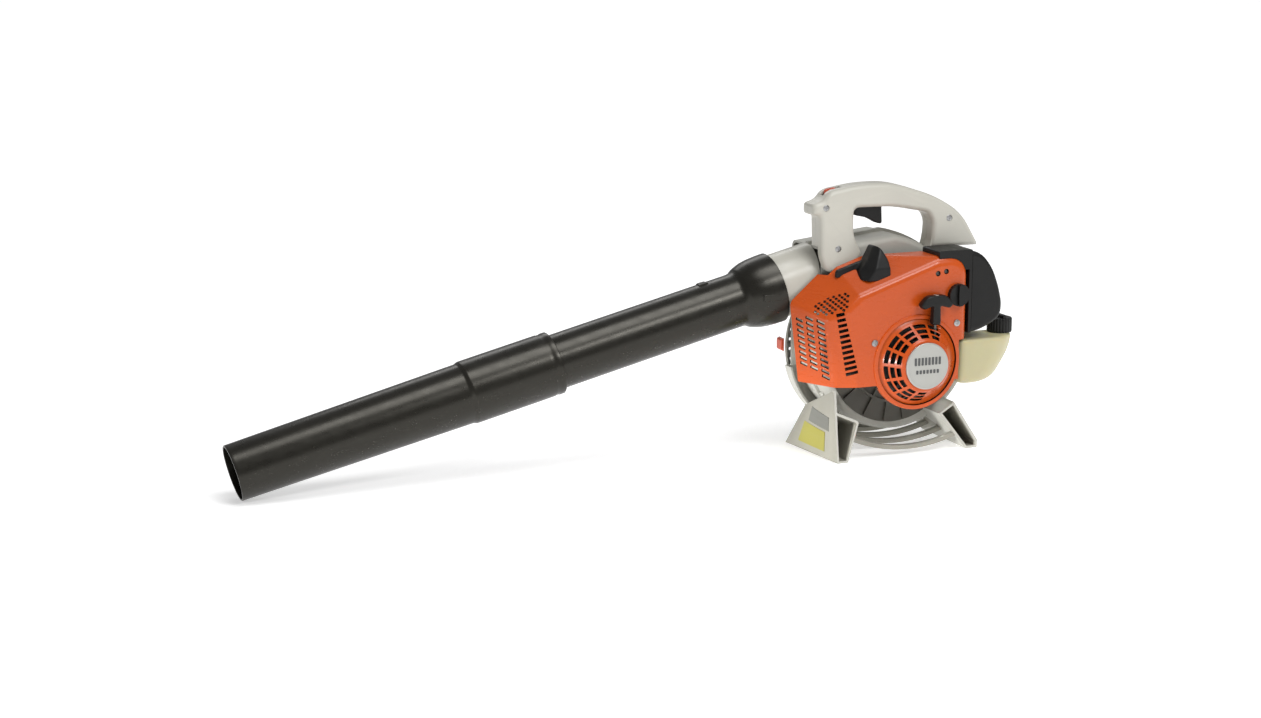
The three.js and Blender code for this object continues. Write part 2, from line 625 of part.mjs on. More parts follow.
function fuelTank() {
  const { bottom, top } = TANK;
  const outer = alongZ([[bottom, tankOutline(28, 5)], [bottom + 5, tankOutline(24)],
    [bottom + 34, tankOutline(6)], [top - 5, tankOutline(0)], [top, tankOutline(0, 4)]]);
  const inner = alongZ([[bottom + 2.5, tankOutline(29, 8)], [bottom + 34, tankOutline(7, 2.5)],
    [top - 2.5, tankOutline(1, 5)]]);
  return cut(outer, [inner, drumZ(12, top - 20, top + 5, CAP.x, CAP.y), drumX(3, 60, 74, -50, 135, 12)]);
}
add('fuel_tank', fuelTank(), CREAM);

function fuelCap() {
  const { x, y, r, height, grip } = CAP;
  const crown = TANK.top + height;
  const rim = drumZ(r, TANK.top + GAP, crown, x, y, 24);
  const rib = box(x - 2, x + 2, y - 14, y + 14, crown - 1, crown + grip);
  return join([rim, rib, drumZ(11.4, TANK.top - 8, TANK.top + 2, x, y, 20)]);
}
add('fuel_cap', fuelCap(), BLACK);
const fuelRun = [[67, -50, 135], [60, -50, 136], [53, -50, 150], [52, -50, 187.5]];
add('fuel_hose', hose(fuelRun, 2.5, 12, 6), RUBBER);

// ---- Stand: two hollow feet joined by four curved skids ----
const FOOT = { near: -87, rearNear: -75, far: 43 };
function frontFoot() {
  const nearSection = [[-116, 96], [-109, 0], [-94, 0], [-80, 56], [-90, 96]];
  const farSection = [[-104, 68], [-121, 0], [-97, 0], [-84, 44], [-90, 68]];
  const outer = alongY([[FOOT.near, nearSection], [FOOT.far, farSection]]);
  const inner = alongY([[FOOT.near - 3, pulledIn(nearSection, 3)], [FOOT.far - 3, pulledIn(farSection, 3)]]);
  return outer.subtract(inner);
}

function rearFoot() {
  const { rearNear, far } = FOOT;
  const outer = slab([[43, 50], [65, 64], [101, 10], [101, 0], [84, 0]], rearNear, far);
  const hollow = [[48, 50], [64, 59.5], [97.5, 9], [97.5, 3], [85.5, 3]];
  return outer.subtract(slab(hollow, rearNear - 3, far - 3));
}

function skid(y) {
  const steps = 10;
  const half = THREE.MathUtils.degToRad(28);
  const lowest = 6.5;
  const bend = 206;
  const arc = (r) => Array.from({ length: steps + 1 }, (_, i) => {
    const angle = -Math.PI / 2 - half + (2 * half * i) / steps;
    const vertex = r / Math.cos(half / steps);
    return [vertex * Math.cos(angle), lowest + bend + vertex * Math.sin(angle)];
  });
  const strip = slab([...arc(bend), ...arc(bend - 4.2).reverse()], y - 4, y + 4);
  return strip.intersect(box(-96, 86, -200, 200, -1, 90));
}

function baseStand() {
  const stand = join([frontFoot(), rearFoot(), ...[-70, -34, 2, 38].map(skid)]);
  return cut(stand, [housingRoom]);
}
add('base_stand', baseStand(), GREY);

// ---- Outlet spigot, tube and nozzle ----
// The tube's own axis points from the bend down to the nozzle mouth.
const NOZZLE_END = NOZZLE.start + NOZZLE.length;
const pitch = THREE.MathUtils.degToRad(TUBE.pitch);
const MOUTH_Z = NOZZLE.mouthR * Math.cos(pitch);
const bendZ = MOUTH_Z + NOZZLE_END * Math.sin(pitch);
const tubeFrame = new THREE.Matrix4().makeRotationY(Math.PI / 2 - pitch).setPosition(TUBE.bend, FAN_Y, bendZ);

// A profile of [radius, distance from the bend] points turned about the tube's axis.
function aboutTube(profile, sides = 28) {
  const upright = turned(profile, sides).rotateX(-Math.PI / 2);
  return solid(upright.applyMatrix4(tubeFrame));
}

function outletSpigot() {
  const { r, tip, root } = SPIGOT;
  const pipe = aboutTube([[r, tip], [r, root], [r - 3, root], [r - 3, tip]]);
  return cut(pipe, [box(OUTLET.x - GAP, 0, -100, 200, 100, 400)]);
}
add('outlet_spigot', outletSpigot(), WHITE);

// The tube widens into a collar that sits over the spigot.
function blowerTube() {
  const { r, length } = TUBE;
  const along = (thinner, past) => aboutTube([[0, COLLAR.rim - past], [COLLAR.r - thinner, COLLAR.rim - past],
    [COLLAR.waist - thinner, COLLAR.waistAt], [41.5 - thinner, -14], [38.5 - thinner, -6],
    [r - thinner, 2], [r - thinner, length + past], [0, length + past]]);
  const lug = box(-262, -244, FAN_Y - 6, FAN_Y + 6, bendZ + 12, bendZ + 27);
  return cut(join([along(0, 0), lug]), [along(TUBE.wall, 1)]);
}
add('blower_tube', blowerTube(), BLACK);

function nozzle() {
  const { start, socket, socketR, bodyR, mouthR } = NOZZLE;
  const seat = TUBE.r + GAP;
  return aboutTube([[socketR, start], [socketR, start + socket - 3], [bodyR, start + socket],
    [mouthR, NOZZLE_END], [mouthR - WALL, NOZZLE_END], [bodyR - WALL, start + socket + 12],
    [seat - 2, start + socket - 4],
    [seat - 2, start + socket - 12], [seat, start + socket - 14], [seat, start]], 28);
}
add('nozzle', nozzle(), BLACK);

// ---- Handle: two hollow halves around the trigger ----
const handleCorners = [[-124, 327, 3], [-124, 313, 3], [-113, 312, 3], [-111, 258, 6], [-102, 238, 10],
  [-84, 238, 10], [-50, 256, 8], [-65, 284, 8], [-65, 320, 8], [-10, 319, 12], [42, 309, 8], [49, 296, 6],
  [47, 268, 4], [37, 245, 3], [52, 262, 3], [118, 262, 4], [92, 306, 18], [52, 330, 30],
  [-10, 350, 40], [-58, 350, 26], [-100, 343, 12], [-110, 331, 6]];
// The body of the handle, thinner towards both sides and pulled in by inset.
function handleBody(inset) {
  const slices = [[17, 3.6], [12.5, 0]];
  const station = (side) => ([depth, edge]) => (
    [HANDLE_Y + side * (depth - inset), rounded(pulledIn(handleCorners, edge + inset), 2)]);
  return alongY([...slices.map(station(-1)), ...slices.toReversed().map(station(1))]);
}

const TRIGGER = { x: -57, z: 330 };
const LEVER = { x: -94, z: 336 };
const handleScrews = [[-106, 322], [-88, 268.5], [72, 300]];
function handleHalf(side) {
  const spigotRoom = box(-200, OUTLET.x + 5, -25, 100, 200, OUTLET.top + 3);
  const shell = cut(handleBody(0), [handleBody(WALL), housingRoom, spigotRoom]);
  const outside = side < 0 ? box(-200, 200, HANDLE_Y - GAP / 2, 100, 200, 400)
    : box(-200, 200, -100, HANDLE_Y + GAP / 2, 200, 400);
  const pocket = box(TRIGGER.x - 8, -14, HANDLE_Y - 7, HANDLE_Y + 7, 300, 330);
  const leverSlot = box(LEVER.x - 11, LEVER.x + 15, HANDLE_Y - 4.5, HANDLE_Y + 4.5, LEVER.z - 8, 370);
  const cableExit = drumZ(5, 240, 275, 92, -24);
  const screwHoles = handleScrews.map(([x, z]) => drumY(3, -40, -30, x, z, 12));
  return cut(shell, [outside, pocket, leverSlot, cableExit, ...screwHoles]);
}
add('handle_near_half', handleHalf(-1), WHITE);
add('handle_far_half', handleHalf(1), WHITE);
handleScrews.forEach(([x, z], i) => {
  const name = ['handle_screw_front', 'handle_screw_lower', 'handle_screw_rear'][i];
  add(name, screw(x, HANDLE_Y - 17, z, 4), STEEL);
});

function throttleTrigger() {
  const { x, z } = TRIGGER;
  const outline = rounded([[x - 4, z + 4, 3], [x + 34, z + 1, 2], [x + 36, z - 12], [x + 37, z - 34, 3],
    [x + 30, z - 33, 3], [x + 16, z - 25, 6], [x - 3, z - 21, 3]], 2);
  return slab(outline, HANDLE_Y - 6, HANDLE_Y + 6);
}
add('throttle_trigger', throttleTrigger(), BLACK);

function settingLever() {
  const { x, z } = LEVER;
  const outline = rounded([[x - 7, z - 5, 3], [x + 7, z - 5, 3], [x + 9, z + 10, 3], [x - 6, z + 8, 3]], 2);
  return slab(outline, HANDLE_Y - 4, HANDLE_Y + 4);
}
add('setting_lever', settingLever(), RED);
const cableRun = [[-14, HANDLE_Y, 338], [30, HANDLE_Y, 332], [70, -22, 312], [90, -24, 285], [92, -26, 250],
  [88, -32, 235], [74, -38, 233], [61, -46, 228], [60, -46, 217]];
add('throttle_cable', hose(cableRun, 1.8, 26, 6), RUBBER);

// The origin is on the ground under the middle of the whole machine.
const bounds = new THREE.Box3().setFromObject(blower);
const middle = bounds.getCenter(new THREE.Vector3());
blower.position.set(-middle.x, -middle.y, -bounds.min.z);
blower.updateMatrixWorld(true);

export default blower;
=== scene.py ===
"""Looks of a handheld petrol leaf blower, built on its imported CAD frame.

Shapes are modelled in millimetres in machine coordinates: the crankshaft runs along Y at
x = 0, z = 125, the starter faces -Y and the nozzle points to -X. settle() moves each
finished piece into the frame's metres.
"""

import math

import bmesh
import bpy
from mathutils import Matrix, Vector
from mathutils.bvhtree import BVHTree


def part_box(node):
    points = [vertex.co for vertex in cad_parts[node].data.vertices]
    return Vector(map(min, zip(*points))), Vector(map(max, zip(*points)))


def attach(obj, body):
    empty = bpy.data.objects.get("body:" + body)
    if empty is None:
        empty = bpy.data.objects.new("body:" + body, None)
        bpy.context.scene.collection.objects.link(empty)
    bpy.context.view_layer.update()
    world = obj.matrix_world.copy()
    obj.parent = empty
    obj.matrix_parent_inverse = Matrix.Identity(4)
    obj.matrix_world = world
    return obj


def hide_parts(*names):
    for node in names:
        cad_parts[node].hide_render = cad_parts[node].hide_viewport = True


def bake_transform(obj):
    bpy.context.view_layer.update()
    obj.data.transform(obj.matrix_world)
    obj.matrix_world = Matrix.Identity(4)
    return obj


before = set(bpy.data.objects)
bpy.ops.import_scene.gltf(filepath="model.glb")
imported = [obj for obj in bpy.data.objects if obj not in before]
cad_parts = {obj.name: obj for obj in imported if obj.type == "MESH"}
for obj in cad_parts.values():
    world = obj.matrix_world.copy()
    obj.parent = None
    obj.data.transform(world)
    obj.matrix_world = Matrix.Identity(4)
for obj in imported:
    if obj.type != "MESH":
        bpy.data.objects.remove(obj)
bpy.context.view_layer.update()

MM = 0.001
GAP = 0.4
WALL = 2.6
CRANK_Z = 125
FAN_Y = 20
HANDLE_Y = -20
ENGINE_Y = -54
STARTER_FACE = -116.7
BADGE_FACE = STARTER_FACE - 3
# How deep under the skin a face lies before it takes the painted inside shade.
INSIDE_SHADE_DEPTH = 0.3

badge_low, badge_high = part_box("badge_disc")
ORIGIN = Vector(((badge_low[0] + badge_high[0]) / 2, badge_low[1] - BADGE_FACE * MM, 0))


# ---------------------------------------------------------------- mesh helpers

def add_to_scene(name, data):
    obj = bpy.data.objects.new(name, data)
    bpy.context.collection.objects.link(obj)
    return obj


def new_object(name, verts, faces):
    """A closed mesh object with its faces turned outward."""
    mesh = bpy.data.meshes.new(name)
    mesh.from_pydata([tuple(v) for v in verts], [], faces)
    bm = bmesh.new()
    bm.from_mesh(mesh)
    bmesh.ops.recalc_face_normals(bm, faces=bm.faces)
    bm.to_mesh(mesh)
    bm.free()
    return add_to_scene(name, mesh)


def loft(name, rings, capped=True):
    """A closed body through rings of the same number of points, capped or joined end to end."""
    count = len(rings[0])
    verts = [p for ring in rings for p in ring]
    faces = []
    spans = len(rings) - 1 if capped else len(rings)
    for s in range(spans):
        a, b = s * count, ((s + 1) % len(rings)) * count
        faces += [(a + i, a + (i + 1) % count, b + (i + 1) % count, b + i) for i in range(count)]
    if capped:
        faces.append(tuple(range(count)))
        faces.append(tuple(range((len(rings) - 1) * count, len(rings) * count)))
    return new_object(name, verts, faces)


def circle(radius, count=64):
    return [(radius * math.cos(2 * math.pi * i / count), radius * math.sin(2 * math.pi * i / count))
            for i in range(count)]


def lathe(name, profile, place, count=64):
    """A closed profile of (radius, height) points turned about an axis. place(a, b, h) gives each point."""
    rings = [[place(a, b, h) for a, b in circle(max(r, 0.01), count)] for r, h in profile]
    return loft(name, rings, capped=profile[0][0] == 0)


def about_y(x, z):
    return lambda a, b, h: (x + a, h, z + b)


def about_z(x, y):
    return lambda a, b, h: (x + a, y + b, h)


def about_x(y, z):
    return lambda a, b, h: (h, y + a, z + b)


about_crank = about_y(0, CRANK_Z)


def drum(name, radius, low, high, place, count=48):
    return loft(name, [[place(a, b, h) for a, b in circle(radius, count)] for h in (low, high)])


def prism(name, outline, y0, y1):
    """An (x, z) outline made thick from y0 to y1."""
    return loft(name, [[(x, y, z) for x, z in outline] for y in (y0, y1)])


def block(name, x0, x1, y0, y1, z0, z1):
    return prism(name, [(x0, z0), (x1, z0), (x1, z1), (x0, z1)], y0, y1)


def fillet(corners, steps=6):
    """A closed outline with its corners (a, b, radius) rounded as far as its edges allow."""
    points = []
    for i, corner in enumerate(corners):
        at = Vector(corner[:2])
        radius = corner[2] if len(corner) > 2 else 0
        before = Vector(corners[i - 1][:2]) - at
        after = Vector(corners[(i + 1) % len(corners)][:2]) - at
        radius = min(radius, 0.45 * before.length, 0.45 * after.length)
        enter = at + before.normalized() * radius
        leave = at + after.normalized() * radius
        for k in range(steps + 1):
            t = k / steps
            p = enter * (1 - t) ** 2 + at * (2 * t * (1 - t)) + leave * t ** 2
            if radius > 0 or k == 0:
                points.append((p.x, p.y))
    return points


def pulled_in(corners, amount):
    """The same corners with every edge moved inward by an amount."""
    flat = [Vector(c[:2]) for c in corners]
    area = sum(flat[i - 1].x * p.y - p.x * flat[i - 1].y for i, p in enumerate(flat))
    side = amount if area > 0 else -amount
    moved = []
    for i, corner in enumerate(corners):
        before = (flat[i] - flat[i - 1]).normalized()
        after = (flat[(i + 1) % len(flat)] - flat[i]).normalized()
        shift = side / (1 + before.dot(after))
        x, y = corner[0] - (before.y + after.y) * shift, corner[1] + (before.x + after.x) * shift
        moved.append((x, y, corner[2] if len(corner) > 2 else 0))
    return moved


def cushion(name, corners, stations, steps):
    """A body whose outline is drawn in by an inset at each (y, inset) station."""
    return loft(name, [[(x, y, z) for x, z in fillet(pulled_in(corners, inset), steps)]
                       for y, inset in stations])


def quarter_turn(edge):
    """(depth, inset) pairs along a rounded edge, from the face to the side."""
    turns = [math.radians(15 * k) for k in range(7)]
    return [(edge * (1 - math.cos(a)), edge * (1 - math.sin(a))) for a in turns]


def bent_bar(x, z, radius, half_width, start, end, steps):
    """The outline of a bar bent along an arc."""
    arc = [start + (end - start) * k / steps for k in range(steps + 1)]
    return [(x + r * math.cos(a), z + r * math.sin(a))
            for r, turns in ((radius + half_width, arc), (radius - half_width, arc[::-1])) for a in turns]


def fluted(x, y, radius, depth, flutes, count):
    """A circle with evenly spaced grooves."""
    points = []
    for k in range(count):
        a = 2 * math.pi * k / count
        r = radius - depth * max(0.0, math.cos(flutes * a)) ** 2
        points.append((x + r * math.cos(a), y + r * math.sin(a)))
    return points


def bake_modifiers(obj):
    graph = bpy.context.evaluated_depsgraph_get()
    graph.update()
    mesh = bpy.data.meshes.new_from_object(obj.evaluated_get(graph))
    obj.modifiers.clear()
    obj.data = mesh


def discard(obj):
    bpy.data.objects.remove(obj, do_unlink=True)


def merge(name, objects):
    """Several separate solids become one mesh, without joining their surfaces."""
    bm = bmesh.new()
    for obj in objects:
        bm.from_mesh(obj.data)
        discard(obj)
    mesh = bpy.data.meshes.new(name)
    bm.to_mesh(mesh)
    bm.free()
    return add_to_scene(name, mesh)


def combine(target, others, operation, keep=False):
    for other in others:
        modifier = target.modifiers.new("combine", "BOOLEAN")
        modifier.solver = "MANIFOLD"
        modifier.operation = operation
        modifier.object = other
        bake_modifiers(target)
        if not keep:
            discard(other)
    return target


def carve(target, *tools, keep=False):
    return combine(target, tools, "DIFFERENCE", keep)


def unite(target, *others):
    return combine(target, others, "UNION")


def within(target, other):
    return combine(target, [other], "INTERSECT")


def soften(obj, width, segments=2, angle=28):
    """Rounds the edges sharper than an angle."""
    modifier = obj.modifiers.new("soften", "BEVEL")
    modifier.width = width
    modifier.segments = segments
    modifier.limit_method = "ANGLE"
    modifier.angle_limit = math.radians(angle)
    modifier.use_clamp_overlap = True
    bake_modifiers(obj)
    return obj


def melt(obj, voxel, rounds):
    """Rubber and cast shapes: remeshed finely, then smoothed."""
    remesh = obj.modifiers.new("remesh", "REMESH")
    remesh.mode = "VOXEL"
    remesh.voxel_size = voxel
    smooth = obj.modifiers.new("smooth", "SMOOTH")
    smooth.factor = 0.5
    smooth.iterations = rounds
    bake_modifiers(obj)
    return obj


def half_space(name, point, normal, size=700):
    """Everything on the outer side of a plane."""
    cube = block(name, -size / 2, size / 2, -size / 2, size / 2, 0, size)
    turn = Vector((0, 0, 1)).rotation_difference(Vector(normal)).to_matrix().to_4x4()
    cube.data.transform(Matrix.Translation(point) @ turn)
    return cube


def skin_of(obj):
    return BVHTree.FromPolygons([v.co for v in obj.data.vertices], [p.vertices for p in obj.data.polygons])


def to_frame(mesh):
    """Machine millimetres become the frame's metres, smoothly shaded."""
    mesh.transform(Matrix.Translation(ORIGIN) @ Matrix.Scale(MM, 4))
    mesh.polygons.foreach_set("use_smooth", [True] * len(mesh.polygons))


def settle(obj, finish, body="root", slot=None, replaces=(), sharp=32, inside_shade=None, skin=None):
    """Moves a finished shape into the frame and dresses it.

    Faces that lie under the skin, such as a shell's inside, take the second material: a darker one, painted
    shade for the hollows.
    """
    under = [skin is not None and skin.find_nearest(face.center)[3] > INSIDE_SHADE_DEPTH
             for face in obj.data.polygons]
    to_frame(obj.data)
    obj.data.set_sharp_from_angle(angle=math.radians(sharp))
    even = obj.modifiers.new("even shading", "WEIGHTED_NORMAL")
    even.keep_sharp = True
    bake_modifiers(obj)
    obj.data.materials.clear()
    obj.data.materials.append(MAT[finish])
    if inside_shade:
        obj.data.materials.append(MAT[inside_shade])
        obj.data.polygons.foreach_set("material_index", [int(deep) for deep in under])
    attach(obj, body)
    if replaces:
        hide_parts(*replaces)
    slot = slot or SLOTS[finish]


# ---------------------------------------------------------------- materials

class Nodes:
    """A material's node tree with short ways to add what every finish here uses."""

    def __init__(self, name):
        self.material = bpy.data.materials.new(name)
        self.material.use_nodes = True
        self.tree = self.material.node_tree
        self.shader = self.tree.nodes["Principled BSDF"]
        self.coords = self.tree.nodes.new("ShaderNodeTexCoord").outputs["Object"]

    def link(self, output, socket):
        self.tree.links.new(output, socket)

    def noise(self, scale, detail=3.0, stretch=(1, 1, 1)):
        mapping = self.tree.nodes.new("ShaderNodeMapping")
        mapping.inputs["Scale"].default_value = stretch
        self.link(self.coords, mapping.inputs["Vector"])
        node = self.tree.nodes.new("ShaderNodeTexNoise")
        node.inputs["Scale"].default_value = scale
        node.inputs["Detail"].default_value = detail
        node.inputs["Roughness"].default_value = 0.55
        self.link(mapping.outputs["Vector"], node.inputs["Vector"])
        return node.outputs["Fac"]

    def spread(self, value, low, high, start=0.35, end=0.65):
        node = self.tree.nodes.new("ShaderNodeMapRange")
        for name, number in (("From Min", start), ("From Max", end), ("To Min", low), ("To Max", high)):
            node.inputs[name].default_value = number
        self.link(value, node.inputs["Value"])
        return node.outputs["Result"]

    def mix(self, value, first, second):
        node = self.tree.nodes.new("ShaderNodeMix")
        node.data_type = "RGBA"
        self.link(value, node.inputs["Factor"])
        for socket, colour in ((node.inputs[6], first), (node.inputs[7], second)):
            if isinstance(colour, tuple):
                socket.default_value = (*colour, 1)
            else:
                self.link(colour, socket)
        return node.outputs[2]

    def multiply(self, a, b):
        node = self.tree.nodes.new("ShaderNodeMath")
        node.operation = "MULTIPLY"
        self.link(a, node.inputs[0])
        self.link(b, node.inputs[1])
        return node.outputs["Value"]

    def edges(self):
        """White on raised edges, black elsewhere."""
        pointiness = self.tree.nodes.new("ShaderNodeNewGeometry").outputs["Pointiness"]
        return self.spread(pointiness, 0, 1, 0.53, 0.6)

    def bump(self, height, strength, distance):
        node = self.tree.nodes.new("ShaderNodeBump")
        node.inputs["Strength"].default_value = strength
        node.inputs["Distance"].default_value = distance
        self.link(height, node.inputs["Height"])
        self.link(node.outputs["Normal"], self.shader.inputs["Normal"])

    def set(self, **values):
        for name, value in values.items():
            self.shader.inputs[name.replace("_", " ")].default_value = value


def shade(colour, factor):
    return tuple(min(1.0, c * factor) for c in colour)


def moulded(name, colour, rough=(0.32, 0.42), grain=0.12, grain_size=1400, worn=1.5, wear=0.35, patches=0.06,
            **more):
    """Moulded plastic: fine spark grain, faint flow patches, handling marks and worn edges."""
    n = Nodes(name)
    broad = n.noise(9, 4)
    marks = n.noise(60, 5, stretch=(1, 0.3, 2.2))
    grain_height = n.noise(grain_size, 2)
    base = n.mix(n.spread(broad, 0, 1), shade(colour, 1 - patches), shade(colour, 1 + patches))
    scuffed = n.multiply(n.edges(), n.spread(marks, 0, wear))
    n.link(n.mix(scuffed, base, shade(colour, worn)), n.shader.inputs["Base Color"])
    n.link(n.spread(marks, rough[0], rough[1], 0.3, 0.7), n.shader.inputs["Roughness"])
    n.bump(grain_height, grain, 0.0003)
    n.set(**more)
    return n.material


def metal(name, colour, rough=(0.28, 0.45), brushed=(1, 1, 1)):
    """Turned, cast or sheet metal with tool marks along one direction and a little staining."""
    n = Nodes(name)
    stain = n.noise(30, 5)
    marks = n.noise(500, 3, stretch=brushed)
    base = n.mix(n.spread(stain, 0, 1), shade(colour, 0.8), shade(colour, 1.08))
    n.link(base, n.shader.inputs["Base Color"])
    n.link(n.spread(marks, rough[0], rough[1]), n.shader.inputs["Roughness"])
    n.set(Metallic=1.0)
    n.bump(marks, 0.15, 0.0002)
    return n.material


def make_materials():
    return {
        "orange": moulded("orange_gloss", (0.57, 0.082, 0.008), rough=(0.25, 0.31), grain=0.03,
                          grain_size=900, worn=1.15, wear=0.2, patches=0.03, Coat_Weight=0.25,
                          Coat_Roughness=0.18, Specular_IOR_Level=0.3),
        "white": moulded("white_satin", (0.56, 0.545, 0.48), rough=(0.3, 0.42), grain=0.07, worn=1.1,
                         patches=0.025, Coat_Weight=0.15, Coat_Roughness=0.25),
        "grey": moulded("grey_matte", (0.46, 0.455, 0.41), rough=(0.42, 0.58), grain=0.14, worn=1.2,
                        patches=0.05),
        "tube": moulded("black_tube", (0.0065, 0.006, 0.0045), rough=(0.25, 0.34), grain=0.06, worn=2.2,
                        patches=0.12, Specular_IOR_Level=0.5, Specular_Tint=(1, 0.96, 0.86, 1)),
        "black": moulded("black_moulded", (0.009, 0.009, 0.0085), rough=(0.34, 0.5), grain=0.16,
                         grain_size=1000, worn=2.4, patches=0.12, Specular_IOR_Level=0.28),
        "rubber": moulded("rubber", (0.008, 0.008, 0.008), rough=(0.36, 0.55), grain=0.18, grain_size=700,
                          worn=2.0, patches=0.2, Specular_IOR_Level=0.32),
        "cream": moulded("tank_plastic", (0.58, 0.53, 0.32), rough=(0.36, 0.46), grain=0.05, worn=1.08,
                         patches=0.04, Subsurface_Weight=0.5, Subsurface_Radius=(0.02, 0.014, 0.006),
                         Subsurface_Scale=0.5),
        "red": moulded("lever_plastic", (0.62, 0.075, 0.02), rough=(0.3, 0.4), grain=0.06, worn=1.3),
        "cord": braid("starter_cord", (0.32, 0.32, 0.29)),
        "foam": foam("filter_foam", (0.07, 0.066, 0.06)),
        "steel": metal("machine_steel", (0.42, 0.42, 0.42), brushed=(1, 12, 1)),
        "dark_steel": metal("blackened_steel", (0.10, 0.10, 0.095), rough=(0.38, 0.55)),
        "alloy": metal("cast_alloy", (0.40, 0.40, 0.385), rough=(0.42, 0.6)),
        "muffler": metal("muffler_steel", (0.12, 0.10, 0.085), rough=(0.45, 0.65)),
        "badge": badge_metal(),
        # Painted shade: a darker grey for the hollows of the stand's feet.
        "shade": moulded("painted_shade_grey", (0.29, 0.28, 0.235), rough=(0.5, 0.65), worn=1.3),
        # Painted shade: the near-black plate that stands in for the shadow under the shroud.
        "shade_sheet": moulded("shade_sheet_plastic", (0.085, 0.08, 0.064), rough=(0.45, 0.6), worn=1.4),
        "ink": moulded("badge_band", (0.075, 0.078, 0.078), rough=(0.4, 0.5), grain=0.05, worn=1.5),
        "plate_grey": moulded("plate_grey", (0.14, 0.14, 0.12), rough=(0.4, 0.52), grain=0.03, worn=1.1),
        "plate_yellow": moulded("plate_yellow", (0.29, 0.265, 0.045), rough=(0.38, 0.5), grain=0.03,
                                worn=1.1),
    }


SLOTS = {
    "orange": "orange_shell", "white": "white_shell", "grey": "grey_shell", "tube": "black_tube",
    "black": "black_plastic", "rubber": "black_rubber", "cream": "cream_tank", "red": "signal_red",
    "steel": "machine_steel", "dark_steel": "machine_steel", "badge": "badge_plate", "ink": "badge_plate",
    "shade_sheet": "black_plastic", "plate_grey": "grey_shell", "plate_yellow": "grey_shell",
}


def braid(name, colour):
    """A braided cord: crossing diagonal strands."""
    n = Nodes(name)
    waves = []
    for turn in (0.7, -0.7):
        mapping = n.tree.nodes.new("ShaderNodeMapping")
        mapping.inputs["Rotation"].default_value = (turn, turn, 0)
        n.link(n.coords, mapping.inputs["Vector"])
        wave = n.tree.nodes.new("ShaderNodeTexWave")
        wave.inputs["Scale"].default_value = 420
        n.link(mapping.outputs["Vector"], wave.inputs["Vector"])
        waves.append(wave.outputs["Fac"])
    strands = n.multiply(*waves)
    n.link(n.mix(strands, shade(colour, 0.5), shade(colour, 1.3)), n.shader.inputs["Base Color"])
    n.set(Roughness=0.85)
    n.bump(strands, 0.6, 0.0004)
    return n.material


def foam(name, colour):
    n = Nodes(name)
    cells = n.tree.nodes.new("ShaderNodeTexVoronoi")
    cells.inputs["Scale"].default_value = 700
    n.link(n.coords, cells.inputs["Vector"])
    n.link(n.mix(n.spread(cells.outputs["Distance"], 0, 1, 0.1, 0.6), shade(colour, 0.4), shade(colour, 1.4)),
           n.shader.inputs["Base Color"])
    n.set(Roughness=0.95)
    n.bump(cells.outputs["Distance"], 0.7, 0.0006)
    return n.material


def badge_metal():
    """A satin plate with fine turned rings round its middle."""
    n = Nodes("badge_plate")
    centre = n.tree.nodes.new("ShaderNodeMapping")
    centre.inputs["Location"].default_value = tuple(-(ORIGIN[i] + (0, 0, CRANK_Z * MM)[i]) for i in range(3))
    n.link(n.coords, centre.inputs["Vector"])
    rings = n.tree.nodes.new("ShaderNodeTexWave")
    rings.wave_type = "RINGS"
    rings.rings_direction = "Y"
    rings.inputs["Scale"].default_value = 240
    rings.inputs["Distortion"].default_value = 0.6
    n.link(centre.outputs["Vector"], rings.inputs["Vector"])
    colour = (0.46, 0.46, 0.43)
    n.link(n.mix(n.spread(rings.outputs["Fac"], 0, 1, 0, 1), shade(colour, 0.92), shade(colour, 1.08)),
           n.shader.inputs["Base Color"])
    n.link(n.spread(n.noise(200, 3), 0.34, 0.48), n.shader.inputs["Roughness"])
    n.set(Metallic=0.35)
    n.bump(rings.outputs["Fac"], 0.12, 0.0002)
    return n.material


MAT = make_materials()


# ---------------------------------------------------------------- fan housing

SCROLL = dict(start=99, growth=56, power=2.8, first=150, sweep=300, half_width=44, edge=9)
OUTLET_X, OUTLET_TOP, OUTLET_BOTTOM = -105, 268, 182


def scroll_point(t, inset):
    """The spiral's point at a share t of its sweep, moved in by an inset."""
    angle = math.radians(SCROLL["first"] + SCROLL["sweep"] * t)
    r = SCROLL["start"] + SCROLL["growth"] * t ** SCROLL["power"] - inset
    return r * math.cos(angle), CRANK_Z + r * math.sin(angle)


def scroll_outline(inset, outlet_x=OUTLET_X, steps=72):
    spiral = [scroll_point(i / steps, inset) for i in range(steps + 1)]
    return spiral + [(outlet_x, OUTLET_TOP - inset), (outlet_x, OUTLET_BOTTOM + inset)]


def scroll_body(name, side, extra=0.0, outlet_x=OUTLET_X):
    """One half of the scroll, its outer edge rounded in a quarter turn."""
    half, edge = SCROLL["half_width"], SCROLL["edge"]
    stations = [(half - edge * (1 - math.cos(a)), edge * (1 - math.sin(a)))
                for a in (math.radians(10 * k) for k in range(10))]
    rings = [[(x, FAN_Y + side * (depth - extra), z) for x, z in scroll_outline(inset + extra, outlet_x)]
             for depth, inset in stations]
    rings.append([(x, FAN_Y - side * 0.5, z) for x, z in scroll_outline(extra, outlet_x)])
    return loft(name, rings)


def flange_bosses(side):
    """Screw bosses along the flange where the two halves are bolted together."""
    bosses = []
    for degrees in (172, 215, 258, 300, 340, 375, 408):
        x, z = scroll_point((degrees - SCROLL["first"]) / SCROLL["sweep"], 2)
        ends = sorted((FAN_Y + side * 0.2, FAN_Y + side * 14))
        bosses.append(drum("boss", 5.2, *ends, about_y(x, z), 24))
    return bosses


